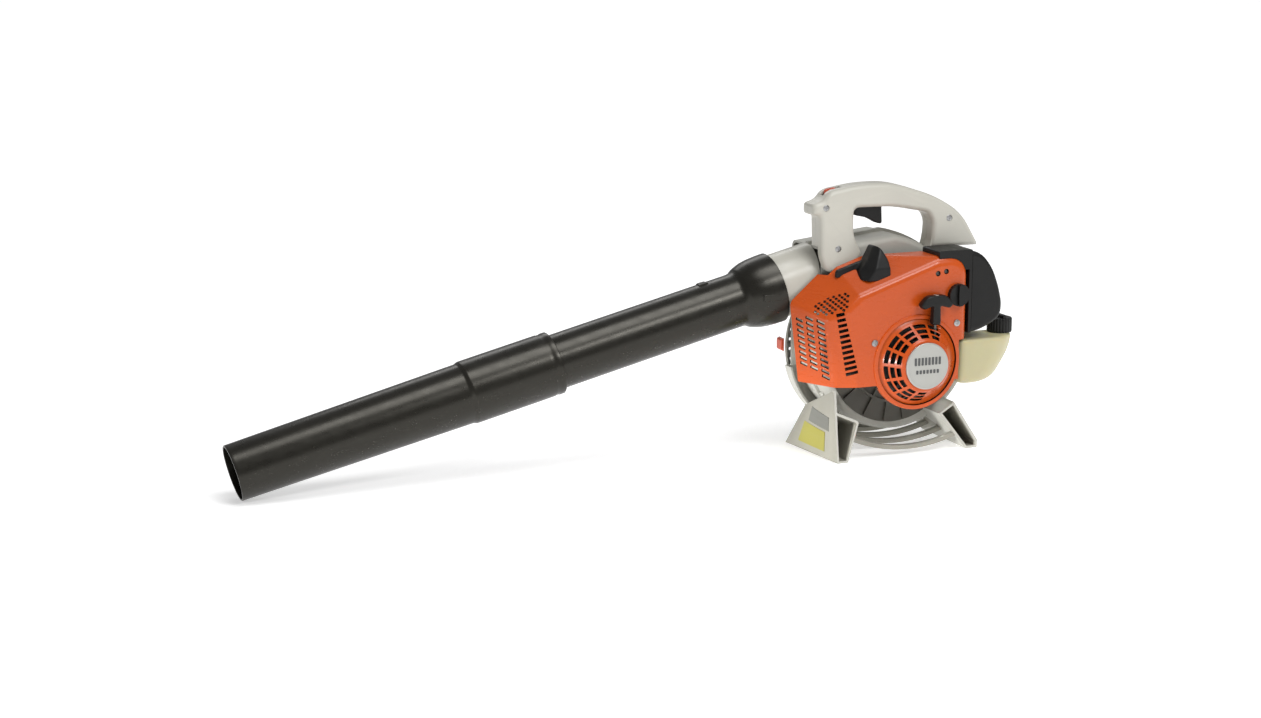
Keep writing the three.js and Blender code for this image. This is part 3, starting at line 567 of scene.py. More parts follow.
def housing_half(name, side, openings):
    shell = scroll_body(name, side)
    low, high = sorted((FAN_Y + side * 0.2, FAN_Y + side * 3.9))
    unite(shell, prism("flange", scroll_outline(-3.9), low, high), *flange_bosses(side))
    if side > 0:
        rim = [(90, 61), (113.4, 61), (113.4, 46), (116, 46), (116, 64), (90, 64)]
        unite(shell, lathe("rim", rim, about_crank, 96))
    other_low, other_high = sorted((FAN_Y + side * 0.2, FAN_Y - side * 100))
    carve(shell, scroll_body("inside", side, 3, OUTLET_X - 3),
          block("outlet", -250, OUTLET_X, -80, 120, 100, 320),
          block("other half", -300, 300, other_low, other_high, -50, 400), *openings)
    return soften(shell, 0.5, 2, 40)


def fan_housing():
    inner = housing_half("housing_inner", -1, [drum("bore", 15, -40, 0, about_crank)])
    settle(inner, "grey", replaces=["fan_housing_inner"])
    outer = housing_half("housing_outer", 1, [drum("eye", 60, 40, 80, about_crank, 80)])
    settle(outer, "grey", replaces=["fan_housing_outer"])


def intake_screen():
    """The guard over the fan's eye: a domed disc with two rings of radial slots."""
    profile = [(0, 83.4), (88, 83.4), (94, 82.2), (103, 77.4), (108, 73), (113, 64.4),
               (110.4, 64.4), (105.6, 72), (101, 75.6), (92.5, 80), (87, 80.8), (0, 80.8)]
    guard = lathe("guard", profile, about_crank, 96)
    bars = []
    for inner, outer, count, width in ((16, 50, 24, 2.8), (55, 103, 48, 4.0)):
        for i in range(count):
            turn = Matrix.Rotation(2 * math.pi * (i + 0.5) / count, 4, "Y")
            bar = block("slot", inner, outer, 60, 90, -width / 2, width / 2)
            bar.data.transform(Matrix.Translation((0, 0, CRANK_Z)) @ turn)
            bars.append(bar)
    carve(guard, merge("slots", bars))
    soften(guard, 0.4, 1, 40)
    settle(guard, "grey", body="screen", replaces=["intake_screen"])


# ---------------------------------------------------------------- outlet, tube and nozzle

PITCH = math.radians(14.2)
NOZZLE_END = 680
MOUTH_R = 35.25
BEND = Vector((-205, FAN_Y, MOUTH_R * math.cos(PITCH) + NOZZLE_END * math.sin(PITCH)))
ALONG = Vector((-math.cos(PITCH), 0, -math.sin(PITCH)))
ACROSS = Vector((-math.sin(PITCH), 0, math.cos(PITCH)))


def about_tube(a, b, h):
    return BEND + ALONG * h + Vector((0, a, 0)) + ACROSS * b


def outlet_spigot():
    """The short pale pipe that carries the tube."""
    profile = [(42, -125), (42, -34), (41.4, -32.6), (40.6, -32), (39, -32), (39, -125)]
    pipe = lathe("spigot", profile, about_tube, 96)
    carve(pipe, block("housing side", OUTLET_X - GAP, 40, -100, 200, 100, 400))
    settle(pipe, "white", replaces=["outlet_spigot"])


def blower_tube():
    """The inner tube: a collar over the spigot, a straight length, a lug and two keys."""
    outer = [(45.2, -54), (46, -53.2), (46, -50), (45.8, -42), (45, -30), (43.6, -21), (41.5, -14),
             (39.4, -8.4), (38.4, -6.4), (36.2, -3.6), (35.3, -0.6), (34.8, 3), (34.8, 373.4), (34.3, 374)]
    inner = [(32.9, 374), (32.4, 373.4), (32.4, 2), (36, -7), (39, -14), (42.6, -30), (43.6, -50),
             (43.6, -54)]
    tube = lathe("tube", outer + inner, about_tube, 112)
    lug_corners = [(-262, 205), (-244, 205), (-246, BEND.z + 26.6, 3), (-259, BEND.z + 24, 3)]
    lug = prism("lug", fillet(lug_corners), FAN_Y - 5.5, FAN_Y + 5.5)
    carve(lug, lathe("core", [(0, -60), (34.2, -60), (34.2, 200), (0, 200)], about_tube, 112))
    unite(tube, soften(lug, 0.8, 3))
    for side in (-1, 1):
        key = block("key", -186, -160, FAN_Y + side * 44.4 - 1.4, FAN_Y + side * 44.4 + 1.4, 205, 213)
        unite(tube, soften(key, 1.0, 3))
    bore = [(0, -60), (43.6, -60), (43.6, -50), (42.6, -30), (39, -14), (36, -7), (32.4, 2), (32.4, 380),
            (0, 380)]
    carve(tube, lathe("bore", bore, about_tube, 112))
    settle(tube, "tube", replaces=["blower_tube"], sharp=40)


def nozzle():
    """The outer tube: a socket over the inner one, then a long taper to the mouth."""
    outer = [(39.6, 257), (40.3, 257.8), (40.3, 263), (39.6, 264.4), (39.6, 269), (40.2, 270.4), (40.2, 374),
             (39.8, 376.4), (38.7, 378.6)]
    start, end = Vector((38.4, 381)), Vector((MOUTH_R, NOZZLE_END - 4))
    taper = [tuple(start.lerp(end, k / 12)) for k in range(13)]
    mouth = [(MOUTH_R, NOZZLE_END - 1), (MOUTH_R - 0.5, NOZZLE_END), (MOUTH_R - 2.1, NOZZLE_END),
             (MOUTH_R - 2.6, NOZZLE_END - 1)]
    inner = [(36.8, 404), (33.2, 388), (33.2, 380), (35.2, 376), (35.2, 257.6), (35.8, 257)]
    tube = lathe("nozzle_tube", outer + taper + mouth + inner, about_tube, 112)
    settle(tube, "tube", body="nozzle_tube", replaces=["nozzle"], sharp=50)


# ---------------------------------------------------------------- engine shroud

SHROUD_NEAR, SHROUD_FAR, SHROUD_REAR, SHROUD_TOP, SHROUD_BOTTOM = -90, -27, 74, 259, 98
SHROUD_EDGE = 13
CHOKE = (57, 209)
ADJUSTERS = ((28, 238), (40, 240))
SHROUD_SCREWS = {"front": (-61, 154), "rear": (57, 172)}


def face_plane(a, b, c):
    """A plane through three points with its normal pointing away from the engine."""
    a, b, c = Vector(a), Vector(b), Vector(c)
    normal = (b - a).cross(c - a).normalized()
    if normal.dot(a - Vector((-20, ENGINE_Y, 170))) < 0:
        normal.negate()
    return a, normal


FRONT_FACE = face_plane((-151, -27, 202), (-123, -80, 187), (-112, -80, 100))
CORNER_FACE = face_plane((-123, -80, 187), (-112, -80, 100), (-86, -90, 105))
NOSE_FACE = face_plane((-151, -27, 202), (-123, -80, 187), (-105, -30, 240))
UPPER_FACE = face_plane((-93, -90, 212), (-7, -90, 241), (-105, -40, 240))


def shroud_block(name, offset, far, bottom, radius):
    """The slanted solid of the shroud, moved in by an offset, its edges rounded by rolling a ball inside."""
    inset = offset + radius
    top, rear, near = SHROUD_TOP - inset, SHROUD_REAR - inset, SHROUD_NEAR + inset
    outline = fillet([(-170, bottom - 40), (rear, bottom - 40), (rear, top, 28 - inset), (-170, top)], 10)
    body = prism(name, outline, near, far + 40)
    bm = bmesh.new()
    bm.from_mesh(body.data)

    def trim(point, normal):
        cut = bmesh.ops.bisect_plane(bm, geom=bm.verts[:] + bm.edges[:] + bm.faces[:], dist=1e-4,
                                     plane_co=point, plane_no=normal, clear_outer=True)
        bmesh.ops.edgeloop_fill(bm, edges=[g for g in cut["geom_cut"] if isinstance(g, bmesh.types.BMEdge)])

    for point, normal in (FRONT_FACE, CORNER_FACE, NOSE_FACE, UPPER_FACE):
        trim(point - normal * inset, normal)
    corners = [v.co.copy() for v in bm.verts]
    bm.clear()
    ball = [v.co.copy() for v in bmesh.ops.create_icosphere(bm, subdivisions=3, radius=radius)["verts"]]
    bm.clear()
    for corner in corners:
        for point in ball:
            bm.verts.new(corner + point)
    bmesh.ops.convex_hull(bm, input=bm.verts[:])
    bmesh.ops.delete(bm, geom=[v for v in bm.verts if not v.link_faces], context="VERTS")
    trim(Vector((0, far, 0)), Vector((0, 1, 0)))
    trim(Vector((0, 0, bottom)), Vector((0, 0, -1)))
    bmesh.ops.remove_doubles(bm, verts=bm.verts, dist=0.01)
    bmesh.ops.dissolve_limit(bm, angle_limit=math.radians(0.4), verts=bm.verts, edges=bm.edges)
    bmesh.ops.recalc_face_normals(bm, faces=bm.faces)
    bm.to_mesh(body.data)
    bm.free()
    return body


def punch(plane, centre, across, width, height, depth=16):
    """A slot cutter lying on a plane, across giving its long direction."""
    _, normal = plane
    u = Vector(across)
    u = (u - normal * u.dot(normal)).normalized()
    v = u.cross(normal)
    cutter = block("slot", -width / 2, width / 2, -depth / 2, depth / 2, -height / 2, height / 2)
    basis = Matrix((u, normal, v)).transposed().to_4x4()
    cutter.data.transform(Matrix.Translation(centre) @ basis)
    return cutter


def on_plane(plane, **known):
    """The point of a plane where two of its coordinates are known."""
    point, normal = plane
    at = Vector([known.get(axis, 0) for axis in "xyz"])
    missing = next(i for i, axis in enumerate("xyz") if axis not in known)
    at[missing] = 0
    at[missing] = (normal.dot(point) - normal.dot(at)) / normal[missing]
    return at


def shroud_vents():
    """Slots down the corner, a chequered grid above them and rows of dashes in front."""
    vents = []
    for i in range(12):
        t = i / 11
        centre = on_plane(CORNER_FACE, x=-108 + 16.4 * t, z=193 - 76 * t)
        vents.append(punch(CORNER_FACE, centre, (1, -0.38, 0.26), 10.5 + 5.5 * t, 4.1, 18))
    ridge = (Vector((-116, -77.5, 203)), (NOSE_FACE[1] + CORNER_FACE[1]).normalized())
    right = (Vector((1, -0.6, 0)) - ridge[1] * Vector((1, -0.6, 0)).dot(ridge[1])).normalized()
    up = right.cross(ridge[1])
    for row in range(8):
        for column in range(12):
            if (row + column) % 2 == 0:
                centre = ridge[0] + right * (3.7 * column - 22) + up * (3.7 * row - 9 - 0.9 * column)
                if centre.z > 197.5 or (centre.y > -82 and centre.z > 193):
                    vents.append(punch(ridge, centre, right + up * 0.3, 3.5, 3.3, 26))
    for column, (y, first, count) in enumerate(((-69, 110, 11), (-53, 116, 10), (-38.5, 123, 9))):
        for row in range(count):
            centre = on_plane(FRONT_FACE, y=y, z=first + 7.2 * row + 3.6 * (column % 2))
            vents.append(punch(FRONT_FACE, centre, (0.5, -1, -0.3), 12.8 - 0.8 * column, 3.7))
    return vents


PLUG_TILT = math.radians(-44)
PLUG_FOOT = Vector((-8, ENGINE_Y, 218))


def about_plug(a, b, h):
    return PLUG_FOOT + Matrix.Rotation(PLUG_TILT, 3, "Y") @ Vector((a, b, h))


def engine_shroud():
    """The slanted cover over the engine, hollow, with its holes and vents."""
    shell = shroud_block("shroud", 0, SHROUD_FAR, SHROUD_BOTTOM, SHROUD_EDGE)
    ring = [(0, -92), (60.4, -92), (61.6, -91.4), (62, -90), (62, -84), (0, -84)]
    unite(shell, lathe("starter_ring", ring, about_crank, 96))
    skin = skin_of(shell)
    carve(shell, shroud_block("inside", WALL, SHROUD_FAR + 5, SHROUD_BOTTOM - 5, SHROUD_EDGE - WALL))
    carve(shell,
          block("housing room", -135, 60, -38, 5, 236, 300),
          drum("starter seat", 56.5, -112, -60, about_crank, 96),
          block("tank room", 61, 95, -95, -20, 80, 149.5),
          block("intake", SHROUD_REAR - 5, 90, -80, -20, 160, 236),
          drum("choke hole", 5, -95, -80, about_y(*CHOKE), 32),
          drum("plug hole", 6.2, 0, 60, about_plug, 32))
    for spot in ADJUSTERS:
        carve(shell, drum("adjuster", 3.5, -95, -80, about_y(*spot), 32))
    for spot in SHROUD_SCREWS.values():
        carve(shell, drum("screw hole", 3, -95, -80, about_y(*spot), 32))
    carve(shell, *shroud_vents())
    # The shroud's inside is black: painted shade that makes the vents and holes read dark.
    settle(shell, "orange", replaces=["engine_shroud"], sharp=34, inside_shade="black", skin=skin)


def recessed_screw(name, x, y, z, radius, replaces):
    """A pan head with a cross recess on a short shank."""
    profile = [(0, y - 1.6), (radius * 0.7, y - 1.6), (radius, y - 1.1), (radius, y - GAP),
               (2.4, y - GAP), (2.4, y + 10), (0, y + 10)]
    head = lathe(name, profile, about_y(x, z), 32)
    carve(head, block("slot", x - 2.4, x + 2.4, y - 3, y - 0.9, z - 0.5, z + 0.5),
          block("slot", x - 0.5, x + 0.5, y - 3, y - 0.9, z - 2.4, z + 2.4))
    settle(head, "steel", replaces=replaces)


def spark_plug_boot():
    """A rubber hood over the plug, with a thin tail along the shroud's upper edge."""
    outline = fillet([(-72, 232), (-71, 243, 5), (-63, 252, 8), (-56, 264, 8), (-50, 275.5, 7), (-44, 272, 8),
                      (-35.5, 257, 8), (-33.5, 230)], 8)
    hood = prism("boot", outline, -80, -46)
    for a, b, c in (((-47, -68, 277), (-47, -82, 242), (-30, -82, 242)),
                    ((-58, -62, 262), (-62, -80, 238), (-76, -58, 240))):
        carve(hood, half_space("slope", *face_plane(a, b, c)))
    tail = fillet([(-98, 234), (-97, 243.5, 2), (-64, 254, 6), (-56, 254), (-56, 234)], 5)
    unite(hood, prism("tail", tail, -52, -46))
    melt(hood, 1.2, 6)
    carve(hood, shroud_block("shroud surface", -GAP, SHROUD_FAR + 30, SHROUD_BOTTOM, SHROUD_EDGE),
          drum("plug bore", 6.4, -10, 41, about_plug, 32))
    settle(hood, "rubber", replaces=["spark_plug_boot"], sharp=50)


# ---------------------------------------------------------------- starter

ROPE_X, ROPE_Y = 20, -100.3
about_rope = about_z(ROPE_X, ROPE_Y)


def starter_cover():
    """The dome over the starter with nine groups of three curved louvres."""
    outer = [(0, STARTER_FACE), (30.5, STARTER_FACE), (32.4, -116.4), (34, -115.2), (37, -111.6),
             (44.5, -101.6), (50.5, -93.4), (52.4, -91.2), (55, -90.2), (56, -89), (56, -84), (0, -84)]
    inner = [(0, -80), (50, -80), (50, -88.5), (33, -111.8), (30, STARTER_FACE + 2.5),
             (0, STARTER_FACE + 2.5)]
    shell = unite(lathe("starter_dome", outer, about_crank, 128),
                  drum("guide", 7, 158, 171, about_rope, 40))
    skin = skin_of(shell)
    louvres = []
    for group in range(9):
        middle = math.radians(66 + 25 * group)
        for ring in range(3):
            half = 0.155 + 0.012 * ring
            outline = bent_bar(0, CRANK_Z, 37.2 + 5.4 * ring, 1.9, middle - half, middle + half, 6)
            louvres.append(prism("louvre", outline, -125, -82))
    carve(shell, lathe("inside", inner, about_crank, 96), merge("louvres", louvres))
    unite(shell, drum("post", 5, STARTER_FACE + 1, -94.5, about_crank, 32))
    carve(shell, drum("rope hole", 2.4, 100, 200, about_rope, 24))
    soften(shell, 0.4, 2, 38)
    # The dome's inside is black: painted shade that makes the louvres read dark.
    settle(shell, "orange", replaces=["starter_cover"], sharp=36, inside_shade="black", skin=skin)


def badge():
    """A plain metal disc with a turned rim and two rows of equal dark blocks."""
    profile = [(0, BADGE_FACE + 0.5), (26.6, BADGE_FACE + 0.5), (27.2, BADGE_FACE + 0.1), (29, BADGE_FACE),
               (30, BADGE_FACE + 0.8), (30, STARTER_FACE - GAP), (0, STARTER_FACE - GAP)]
    disc = lathe("badge", profile, about_crank, 128)
    settle(disc, "badge", replaces=["badge_disc"], sharp=50)
    blocks, pitch, half = [], 4.9, 1.6
    for low, high, count in ((126.5, 136.5, 8), (115.5, 120.5, 7)):
        for k in range(count):
            x = pitch * (k - (count - 1) / 2)
            corners = [(x - half, low, 1), (x + half, low, 1), (x + half, high, 1), (x - half, high, 1)]
            blocks.append(prism("block", fillet(corners, 4), BADGE_FACE + 0.2, BADGE_FACE + 0.9))
    settle(merge("badge_blocks", blocks), "ink")


def starter_grip():
    """The pull handle: a soft T with a small pale cap on top."""
    bar = [(-6, 174, 3), (6, 174, 3), (5, 199, 5), (19, 194.5, 5), (24, 201, 5), (13, 212.8, 6),
           (-13, 212.8, 6), (-24, 201, 5), (-19, 194.5, 5), (-5, 199, 5)]
    turns = [math.pi * k / 8 for k in range(9)]
    stations = [(ROPE_Y - 6 * math.cos(a), 2.6 * (1 - math.sin(a) ** 0.6)) for a in turns]
    grip = cushion("pull_grip", [(ROPE_X + x, z, radius) for x, z, radius in bar], stations, 6)
    carve(grip, drum("rope hole", 2.2, 160, 185, about_rope, 24))
    settle(grip, "black", body="starter_handle", replaces=["starter_grip"], sharp=48)
    cap = lathe("grip_cap", [(0, 212.7), (3.6, 212.7), (4, 212.3), (4, 208), (0, 208)], about_rope, 32)
    settle(cap, "white", body="starter_handle", slot="black_plastic")


def starter_rope():
    """The rope: a straight cord rising from its pulley into the grip."""
    rings = [[(ROPE_X + a, ROPE_Y + b, 127 + 1.5 * k) for a, b in circle(1.7, 16)] for k in range(39)]
    rope = loft("pull_rope", rings)
    to_frame(rope.data)
    rope.data.materials.append(MAT["cord"])
    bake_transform(rope)
    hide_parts("starter_rope")


def choke_knob():
    """A round knob with a fluted edge, a finger bar and a shaft."""
    knob = prism("choke_knob_top", fluted(*CHOKE, 14.5, 0.5, 18, 180), -97, -90.4)
    bar = [(54, 195.5, 2.5), (60, 195.5, 2.5), (60.6, 209), (60, 222.5, 2.5), (54, 222.5, 2.5), (53.4, 209)]
    unite(knob, prism("bar", fillet(bar, 6), -101, -95), drum("shaft", 4, -92, -69, about_y(*CHOKE), 32))
    soften(knob, 0.8, 3, 40)
    settle(knob, "black", body="choke", replaces=["choke_knob"], sharp=40)


# ---------------------------------------------------------------- handle

HANDLE = [(-124, 327, 4), (-124, 313, 4), (-113, 312, 5), (-111, 258, 8), (-102, 238, 10), (-84, 238, 12),
          (-50, 256, 10), (-65, 284, 12), (-65, 320, 10), (-10, 319, 14), (42, 309, 10), (49, 296, 8),
          (47, 262, 4), (118, 262, 4), (92, 306, 22), (52, 330, 32),
          (-10, 350, 44), (-58, 350, 30), (-100, 343, 14), (-110, 331, 8)]
TRIGGER = (-57, 330)
LEVER = (-94, 336)
HANDLE_SCREWS = {"front": (-106, 322), "lower": (-88, 268.5), "rear": (72, 300)}


def two_sided(*half):
    """(distance, inset) stations on both sides of the handle's middle plane."""
    return [(HANDLE_Y - y, inset) for y, inset in half] + [(HANDLE_Y + y, inset) for y, inset in half[::-1]]


def handle_body(name, inset, edge=6.5, depth=17):
    """The whole handle: its outline drawn in along a quarter turn towards both sides."""
    edge_turn = [(depth - inset - cut, pull + inset) for cut, pull in quarter_turn(edge)]
    return cushion(name, HANDLE, two_sided(*edge_turn), 8)


def housing_room():
    """The housing with a little room round it, for the pieces that fit against it."""
    room = scroll_body("room", -1, -GAP)
    unite(room, scroll_body("room far", 1, -GAP),
          prism("flange room", scroll_outline(-4 - GAP), FAN_Y - 4 - GAP, FAN_Y + 4 + GAP),
          drum("rim room", 116.4, 45.6, 64.4, about_crank, 96))
    return room


def handle_half(name, side, node, room):
    shell = handle_body(name, 0)
    toe = fillet([(49, 280), (47, 268, 4), (37, 245, 3), (53, 262.5), (60, 264), (60, 280)])
    unite(shell, soften(prism("toe", toe, HANDLE_Y - 14, HANDLE_Y + 14), 2, 3, 40))
    carve(shell, handle_body("inside", WALL))
    carve(shell, room, keep=True)
    keep_low, keep_high = sorted((HANDLE_Y + side * 0.2, HANDLE_Y + side * 60))
    within(shell, block("side", -200, 200, keep_low, keep_high, 200, 400))
    tools = [block("spigot room", -220, OUTLET_X + 5, -25, 100, 200, OUTLET_TOP + 3),
             block("pocket", TRIGGER[0] - 8, -14, HANDLE_Y - 7, HANDLE_Y + 7, 300, 330),
             block("lever slot", LEVER[0] - 11, LEVER[0] + 15, HANDLE_Y - 4.5, HANDLE_Y + 4.5, 328, 370),
             drum("cable exit", 5, 240, 275, about_z(92, -24), 24)]
    if side < 0:
        tools += [drum("screw seat", 4.6, -60, -36.2, about_y(*spot), 40) for spot in HANDLE_SCREWS.values()]
        tools += [drum("screw hole", 3, -40, -28, about_y(*spot), 24) for spot in HANDLE_SCREWS.values()]
    carve(shell, *tools)
    soften(shell, 0.35, 2, 45)
    settle(shell, "white", replaces=[node], sharp=42)


def handle(room):
    handle_half("handle_near", -1, "handle_near_half", room)
    handle_half("handle_far", 1, "handle_far_half", room)
    for end, (x, z) in HANDLE_SCREWS.items():
        recessed_screw(f"grip_screw_{end}", x, HANDLE_Y - 15.3, z, 4, replaces=[f"handle_screw_{end}"])


def throttle_trigger():
    x, z = TRIGGER
    corners = [(x - 4, z + 4, 4), (x + 34, z + 1, 2), (x + 36, z - 12), (x + 37, z - 34, 4),
               (x + 30, z - 33, 4), (x + 16, z - 25, 8), (x - 3, z - 21, 4)]
    blade = cushion("trigger_blade", corners, two_sided((6, 1.6), (5.6, 0.7), (4.6, 0)), 7)
    settle(blade, "black", body="trigger", replaces=["throttle_trigger"], sharp=50)


def setting_lever():
    x, z = LEVER
    corners = [(x - 7, z - 5, 3), (x + 7, z - 5, 3), (x + 9, z + 10, 3.5), (x - 6, z + 8, 3.5)]
    lever = cushion("throttle_setting_lever", corners, two_sided((4, 1), (3.4, 0.2), (2.8, 0)), 7)
    ribs = [block("rib", x - 3.6 + 3.4 * k, x - 2.6 + 3.4 * k, HANDLE_Y - 6, HANDLE_Y + 6, z + 7.4, z + 16)
            for k in range(4)]
    carve(lever, merge("ribs", ribs))
    settle(lever, "red", body="lever", replaces=["setting_lever"], sharp=45)


# ---------------------------------------------------------------- air filter and fuel tank

FILTER_NEAR, FILTER_FAR, FILTER_FRONT = -86, -40, 80
FILTER_OUTLINE = [(70, 266, 3), (95, 260, 14), (112, 240, 20), (122, 214, 20), (127, 192, 14), (125, 176, 10),
                  (112, 166, 10), (92, 158, 8), (70, 156.5, 3)]


def filter_cover():
    def body(name, inset):
        near_side = [(FILTER_NEAR + inset + cut, pull + inset) for cut, pull in quarter_turn(6)]
        far_side = [(FILTER_FAR + FILTER_NEAR - y, pull) for y, pull in reversed(near_side)]
        return cushion(name, FILTER_OUTLINE, near_side + far_side, 8)

    cover = body("filter_lid_shell", 0)
    carve(cover, body("inside", WALL), block("front", 0, FILTER_FRONT + GAP, -120, 0, 100, 300))
    soften(cover, 0.4, 2, 45)
    settle(cover, "black", body="filter_lid", replaces=["filter_cover"], sharp=42)


def filter_base():
    corners = [(32, 265.8, 3), (FILTER_FRONT, 265.8, 2), (FILTER_FRONT, 157), (60, 155.5), (60, 240),
               (32, 240)]
    hood = prism("filter_back", fillet(corners, 6), FILTER_NEAR, FILTER_FAR)
    carve(hood, shroud_block("shroud surface", -GAP, 0, 90, SHROUD_EDGE),
          block("seat", 30, 76, -100, 0, 100, 240), drum("intake", 9, 60, 90, about_x(ENGINE_Y, 200), 48))
    soften(hood, 1.0, 3, 40)
    settle(hood, "black", replaces=["filter_base"], sharp=40)


TANK_NEAR, TANK_FAR, TANK_LEFT, TANK_LOW, TANK_TOP = -84, -28, 66, 88, 147
CAP_X, CAP_Y, CAP_R = 145, -48, 16.5
about_cap = about_z(CAP_X, CAP_Y)


def tank_ring(shift, inset, z):
    corners = [(TANK_LEFT + inset, TANK_NEAR + inset, 10), (133 - shift - inset, TANK_NEAR + inset, 18),
               (162 - shift - inset, -52, 20), (162 - shift - inset, TANK_FAR - inset, 10),
               (TANK_LEFT + inset, TANK_FAR - inset, 8)]
    return [(x, y, z) for x, y in fillet(corners, 10)]


def fuel_tank():
    """A blown tank: narrow below, swelling to a rounded shoulder, with a parting seam."""
    outer = [(0, 30, 8), (0.8, 28.5, 5.6), (2.4, 27, 3), (5, 24.5, 1), (9, 21.5, 0.2), (16, 17, 0),
             (25, 11.2, 0), (34, 6, 0), (43, 2.6, 0), (43.6, 2.3, 0), (44.6, 2.1, 0), (45.2, 1.9, 0),
             (52, 0.4, 0), (55, 0.1, 0.3), (57, 0.3, 1.2), (58.3, 0.8, 2.6), (59, 1.4, 4.6)]
    inner = [(2.6, 29, 8), (16, 18.5, 2.6), (34, 7.5, 2.6), (50, 2, 2.6), (56.4, 1, 5)]
    shell, inside = (loft(name, [tank_ring(shift, inset, TANK_LOW + z) for z, shift, inset in levels])
                     for name, levels in (("tank_shell", outer), ("inside", inner)))
    carve(shell, inside, drum("neck", 12, TANK_TOP - 20, TANK_TOP + 5, about_cap, 48),
          drum("hose hole", 3, 60, 74, about_x(-50, 135), 24))
    settle(shell, "cream", replaces=["fuel_tank"], sharp=40)


def fuel_cap():
    outline = fluted(0, 0, CAP_R, 0.9, 24, 144)
    levels = [(GAP, 0.97), (2, 1), (17.5, 1), (19, 0.96), (19.5, 0.9)]
    cap = loft("tank_cap", [[(CAP_X + x * share, CAP_Y + y * share, TANK_TOP + z) for x, y in outline]
                            for z, share in levels])
    bar = fillet([(-2.8, -14, 2.4), (2.8, -14, 2.4), (2.8, 14, 2.4), (-2.8, 14, 2.4)], 6)
    unite(cap, loft("grip", [[(CAP_X + x, CAP_Y + y, TANK_TOP + z) for x, y in bar] for z in (18.5, 23.5)]),
          drum("plug", 11.4, TANK_TOP - 8, TANK_TOP + 2, about_cap, 48))
    soften(cap, 0.5, 2, 45)
    settle(cap, "black", body="cap", replaces=["fuel_cap"], sharp=42)


# ---------------------------------------------------------------- stand and small parts

FOOT_NEAR, FOOT_FAR = -87, 43
NEAR_FACE, FAR_FACE = [(-116, 96), (-109, 0)], [(-92, 49), (-121, 0)]
NEAR_SOLE, FAR_SOLE = [(-94, 0), (-79.5, 51), (-82, 54)], [(-97, 0), (-85, 26), (-88, 33)]
FOOT = [(-114, 68), NEAR_FACE[1]] + NEAR_SOLE, [(-100.5, 34.7), FAR_FACE[1]] + FAR_SOLE
FOOT_AND_WALL = (NEAR_FACE + NEAR_SOLE + [(-110.9, 66.7), (-113, 96)],
                 FAR_FACE + FAR_SOLE + [(-97.5, 34.3), (-89, 49)])


def twisted(name, sections, y0, y1, inset=0, steps=16):
    """A body whose section changes evenly from the near one to the far one."""
    near, far = ([Vector((x, y, z)) for x, z, _ in pulled_in(corners, inset)]
                 for corners, y in zip(sections, (y0, y1)))
    return loft(name, [[a.lerp(b, k / steps) for a, b in zip(near, far)] for k in range(steps + 1)])


def base_stand(room):
    """Two hollow feet joined by four bent skids."""
    stand = unite(twisted("stand", FOOT_AND_WALL, FOOT_NEAR, FOOT_FAR),
                  prism("rear_foot", [(43, 50), (65, 64), (101, 10), (101, 0), (84, 0)], -75, FOOT_FAR))
    outline = bent_bar(0, 212.5, 203.2, 2.8, math.radians(-118), math.radians(-62), 28)
    for y in (-70, -34, 2, 38):
        skid = prism("skid", outline, y - 3.9, y + 3.9)
        unite(stand, within(skid, block("span", -91, 86, -200, 200, -1, 90)))
    skin = skin_of(stand)
    carve(stand, twisted("foot inside", FOOT, FOOT_NEAR - 3, FOOT_FAR - 3, WALL),
          prism("rear inside", [(48, 50), (64, 59.5), (97.5, 9), (97.5, 3), (85.5, 3)], -78, FOOT_FAR - 3))
    for y in (-42, 4):
        web = prism("web", [(-114, 6), (-94, 6), (-85, 52), (-107, 52)], y - 1, y + 1)
        within(web, twisted("web room", FOOT, FOOT_NEAR, FOOT_FAR, 1.5))
        unite(stand, web)
    carve(stand, room)
    soften(stand, 0.9, 3, 30)
    # The feet's hollows take the darker grey: painted shade.
    settle(stand, "grey", replaces=["base_stand"], sharp=36, inside_shade="shade", skin=skin)


def foot_plates():
    """Two plain plates on the front foot, where a machine like this carries its stickers."""
    near_top, near_base = (Vector((x, FOOT_NEAR, z)) for x, z in NEAR_FACE)
    far_top, far_base = (Vector((x, FOOT_FAR, z)) for x, z in FAR_FACE)

    def on_face(across, z, out):
        top, base = near_top.lerp(far_top, across), near_base.lerp(far_base, across)
        return base.lerp(top, z / top.z) - Vector((out, 0, 0))

    for name, start, end, low, high, finish in (("plate_upper", 0.16, 0.68, 38, 56, "plate_grey"),
                                                ("plate_lower", 0.25, 0.78, 9, 34.5, "plate_yellow")):
        along = [start + (end - start) * i / 12 for i in range(13)]
        outline = [(a, low) for a in along] + [(a, high) for a in reversed(along)]
        settle(loft(name, [[on_face(a, z, out) for a, z in outline] for out in (-0.4, 0.9)]), finish)


def under_shroud_shade_plate():
    """A dark ribbed plate between the engine and the fan housing, seen under the shroud; its ribs are detail,
    its dark colour is painted shade for the shadow there.
    """
    ribs = lathe("rib ring", [(62, -31), (65, -31), (65, -25), (62, -25)], about_crank, 96)
    for degrees in (218, 242, 262, 280, 298, 322):
        rib = block("rib", 40, 90, -30, -25, -1.2, 1.2)
        turn = Matrix.Rotation(-math.radians(degrees), 4, "Y")
        rib.data.transform(Matrix.Translation((0, 0, CRANK_Z)) @ turn)
        unite(ribs, rib)
    carve(ribs, block("above", -100, 100, -40, -20, 97, 240))
    plate = unite(drum("engine_shade_plate", 92, -26.6, -24.3, about_crank, 96), ribs)
    carve(plate, drum("bore", 16, -40, -20, about_crank, 64))
    soften(plate, 0.5, 2, 40)
    settle(plate, "shade_sheet")


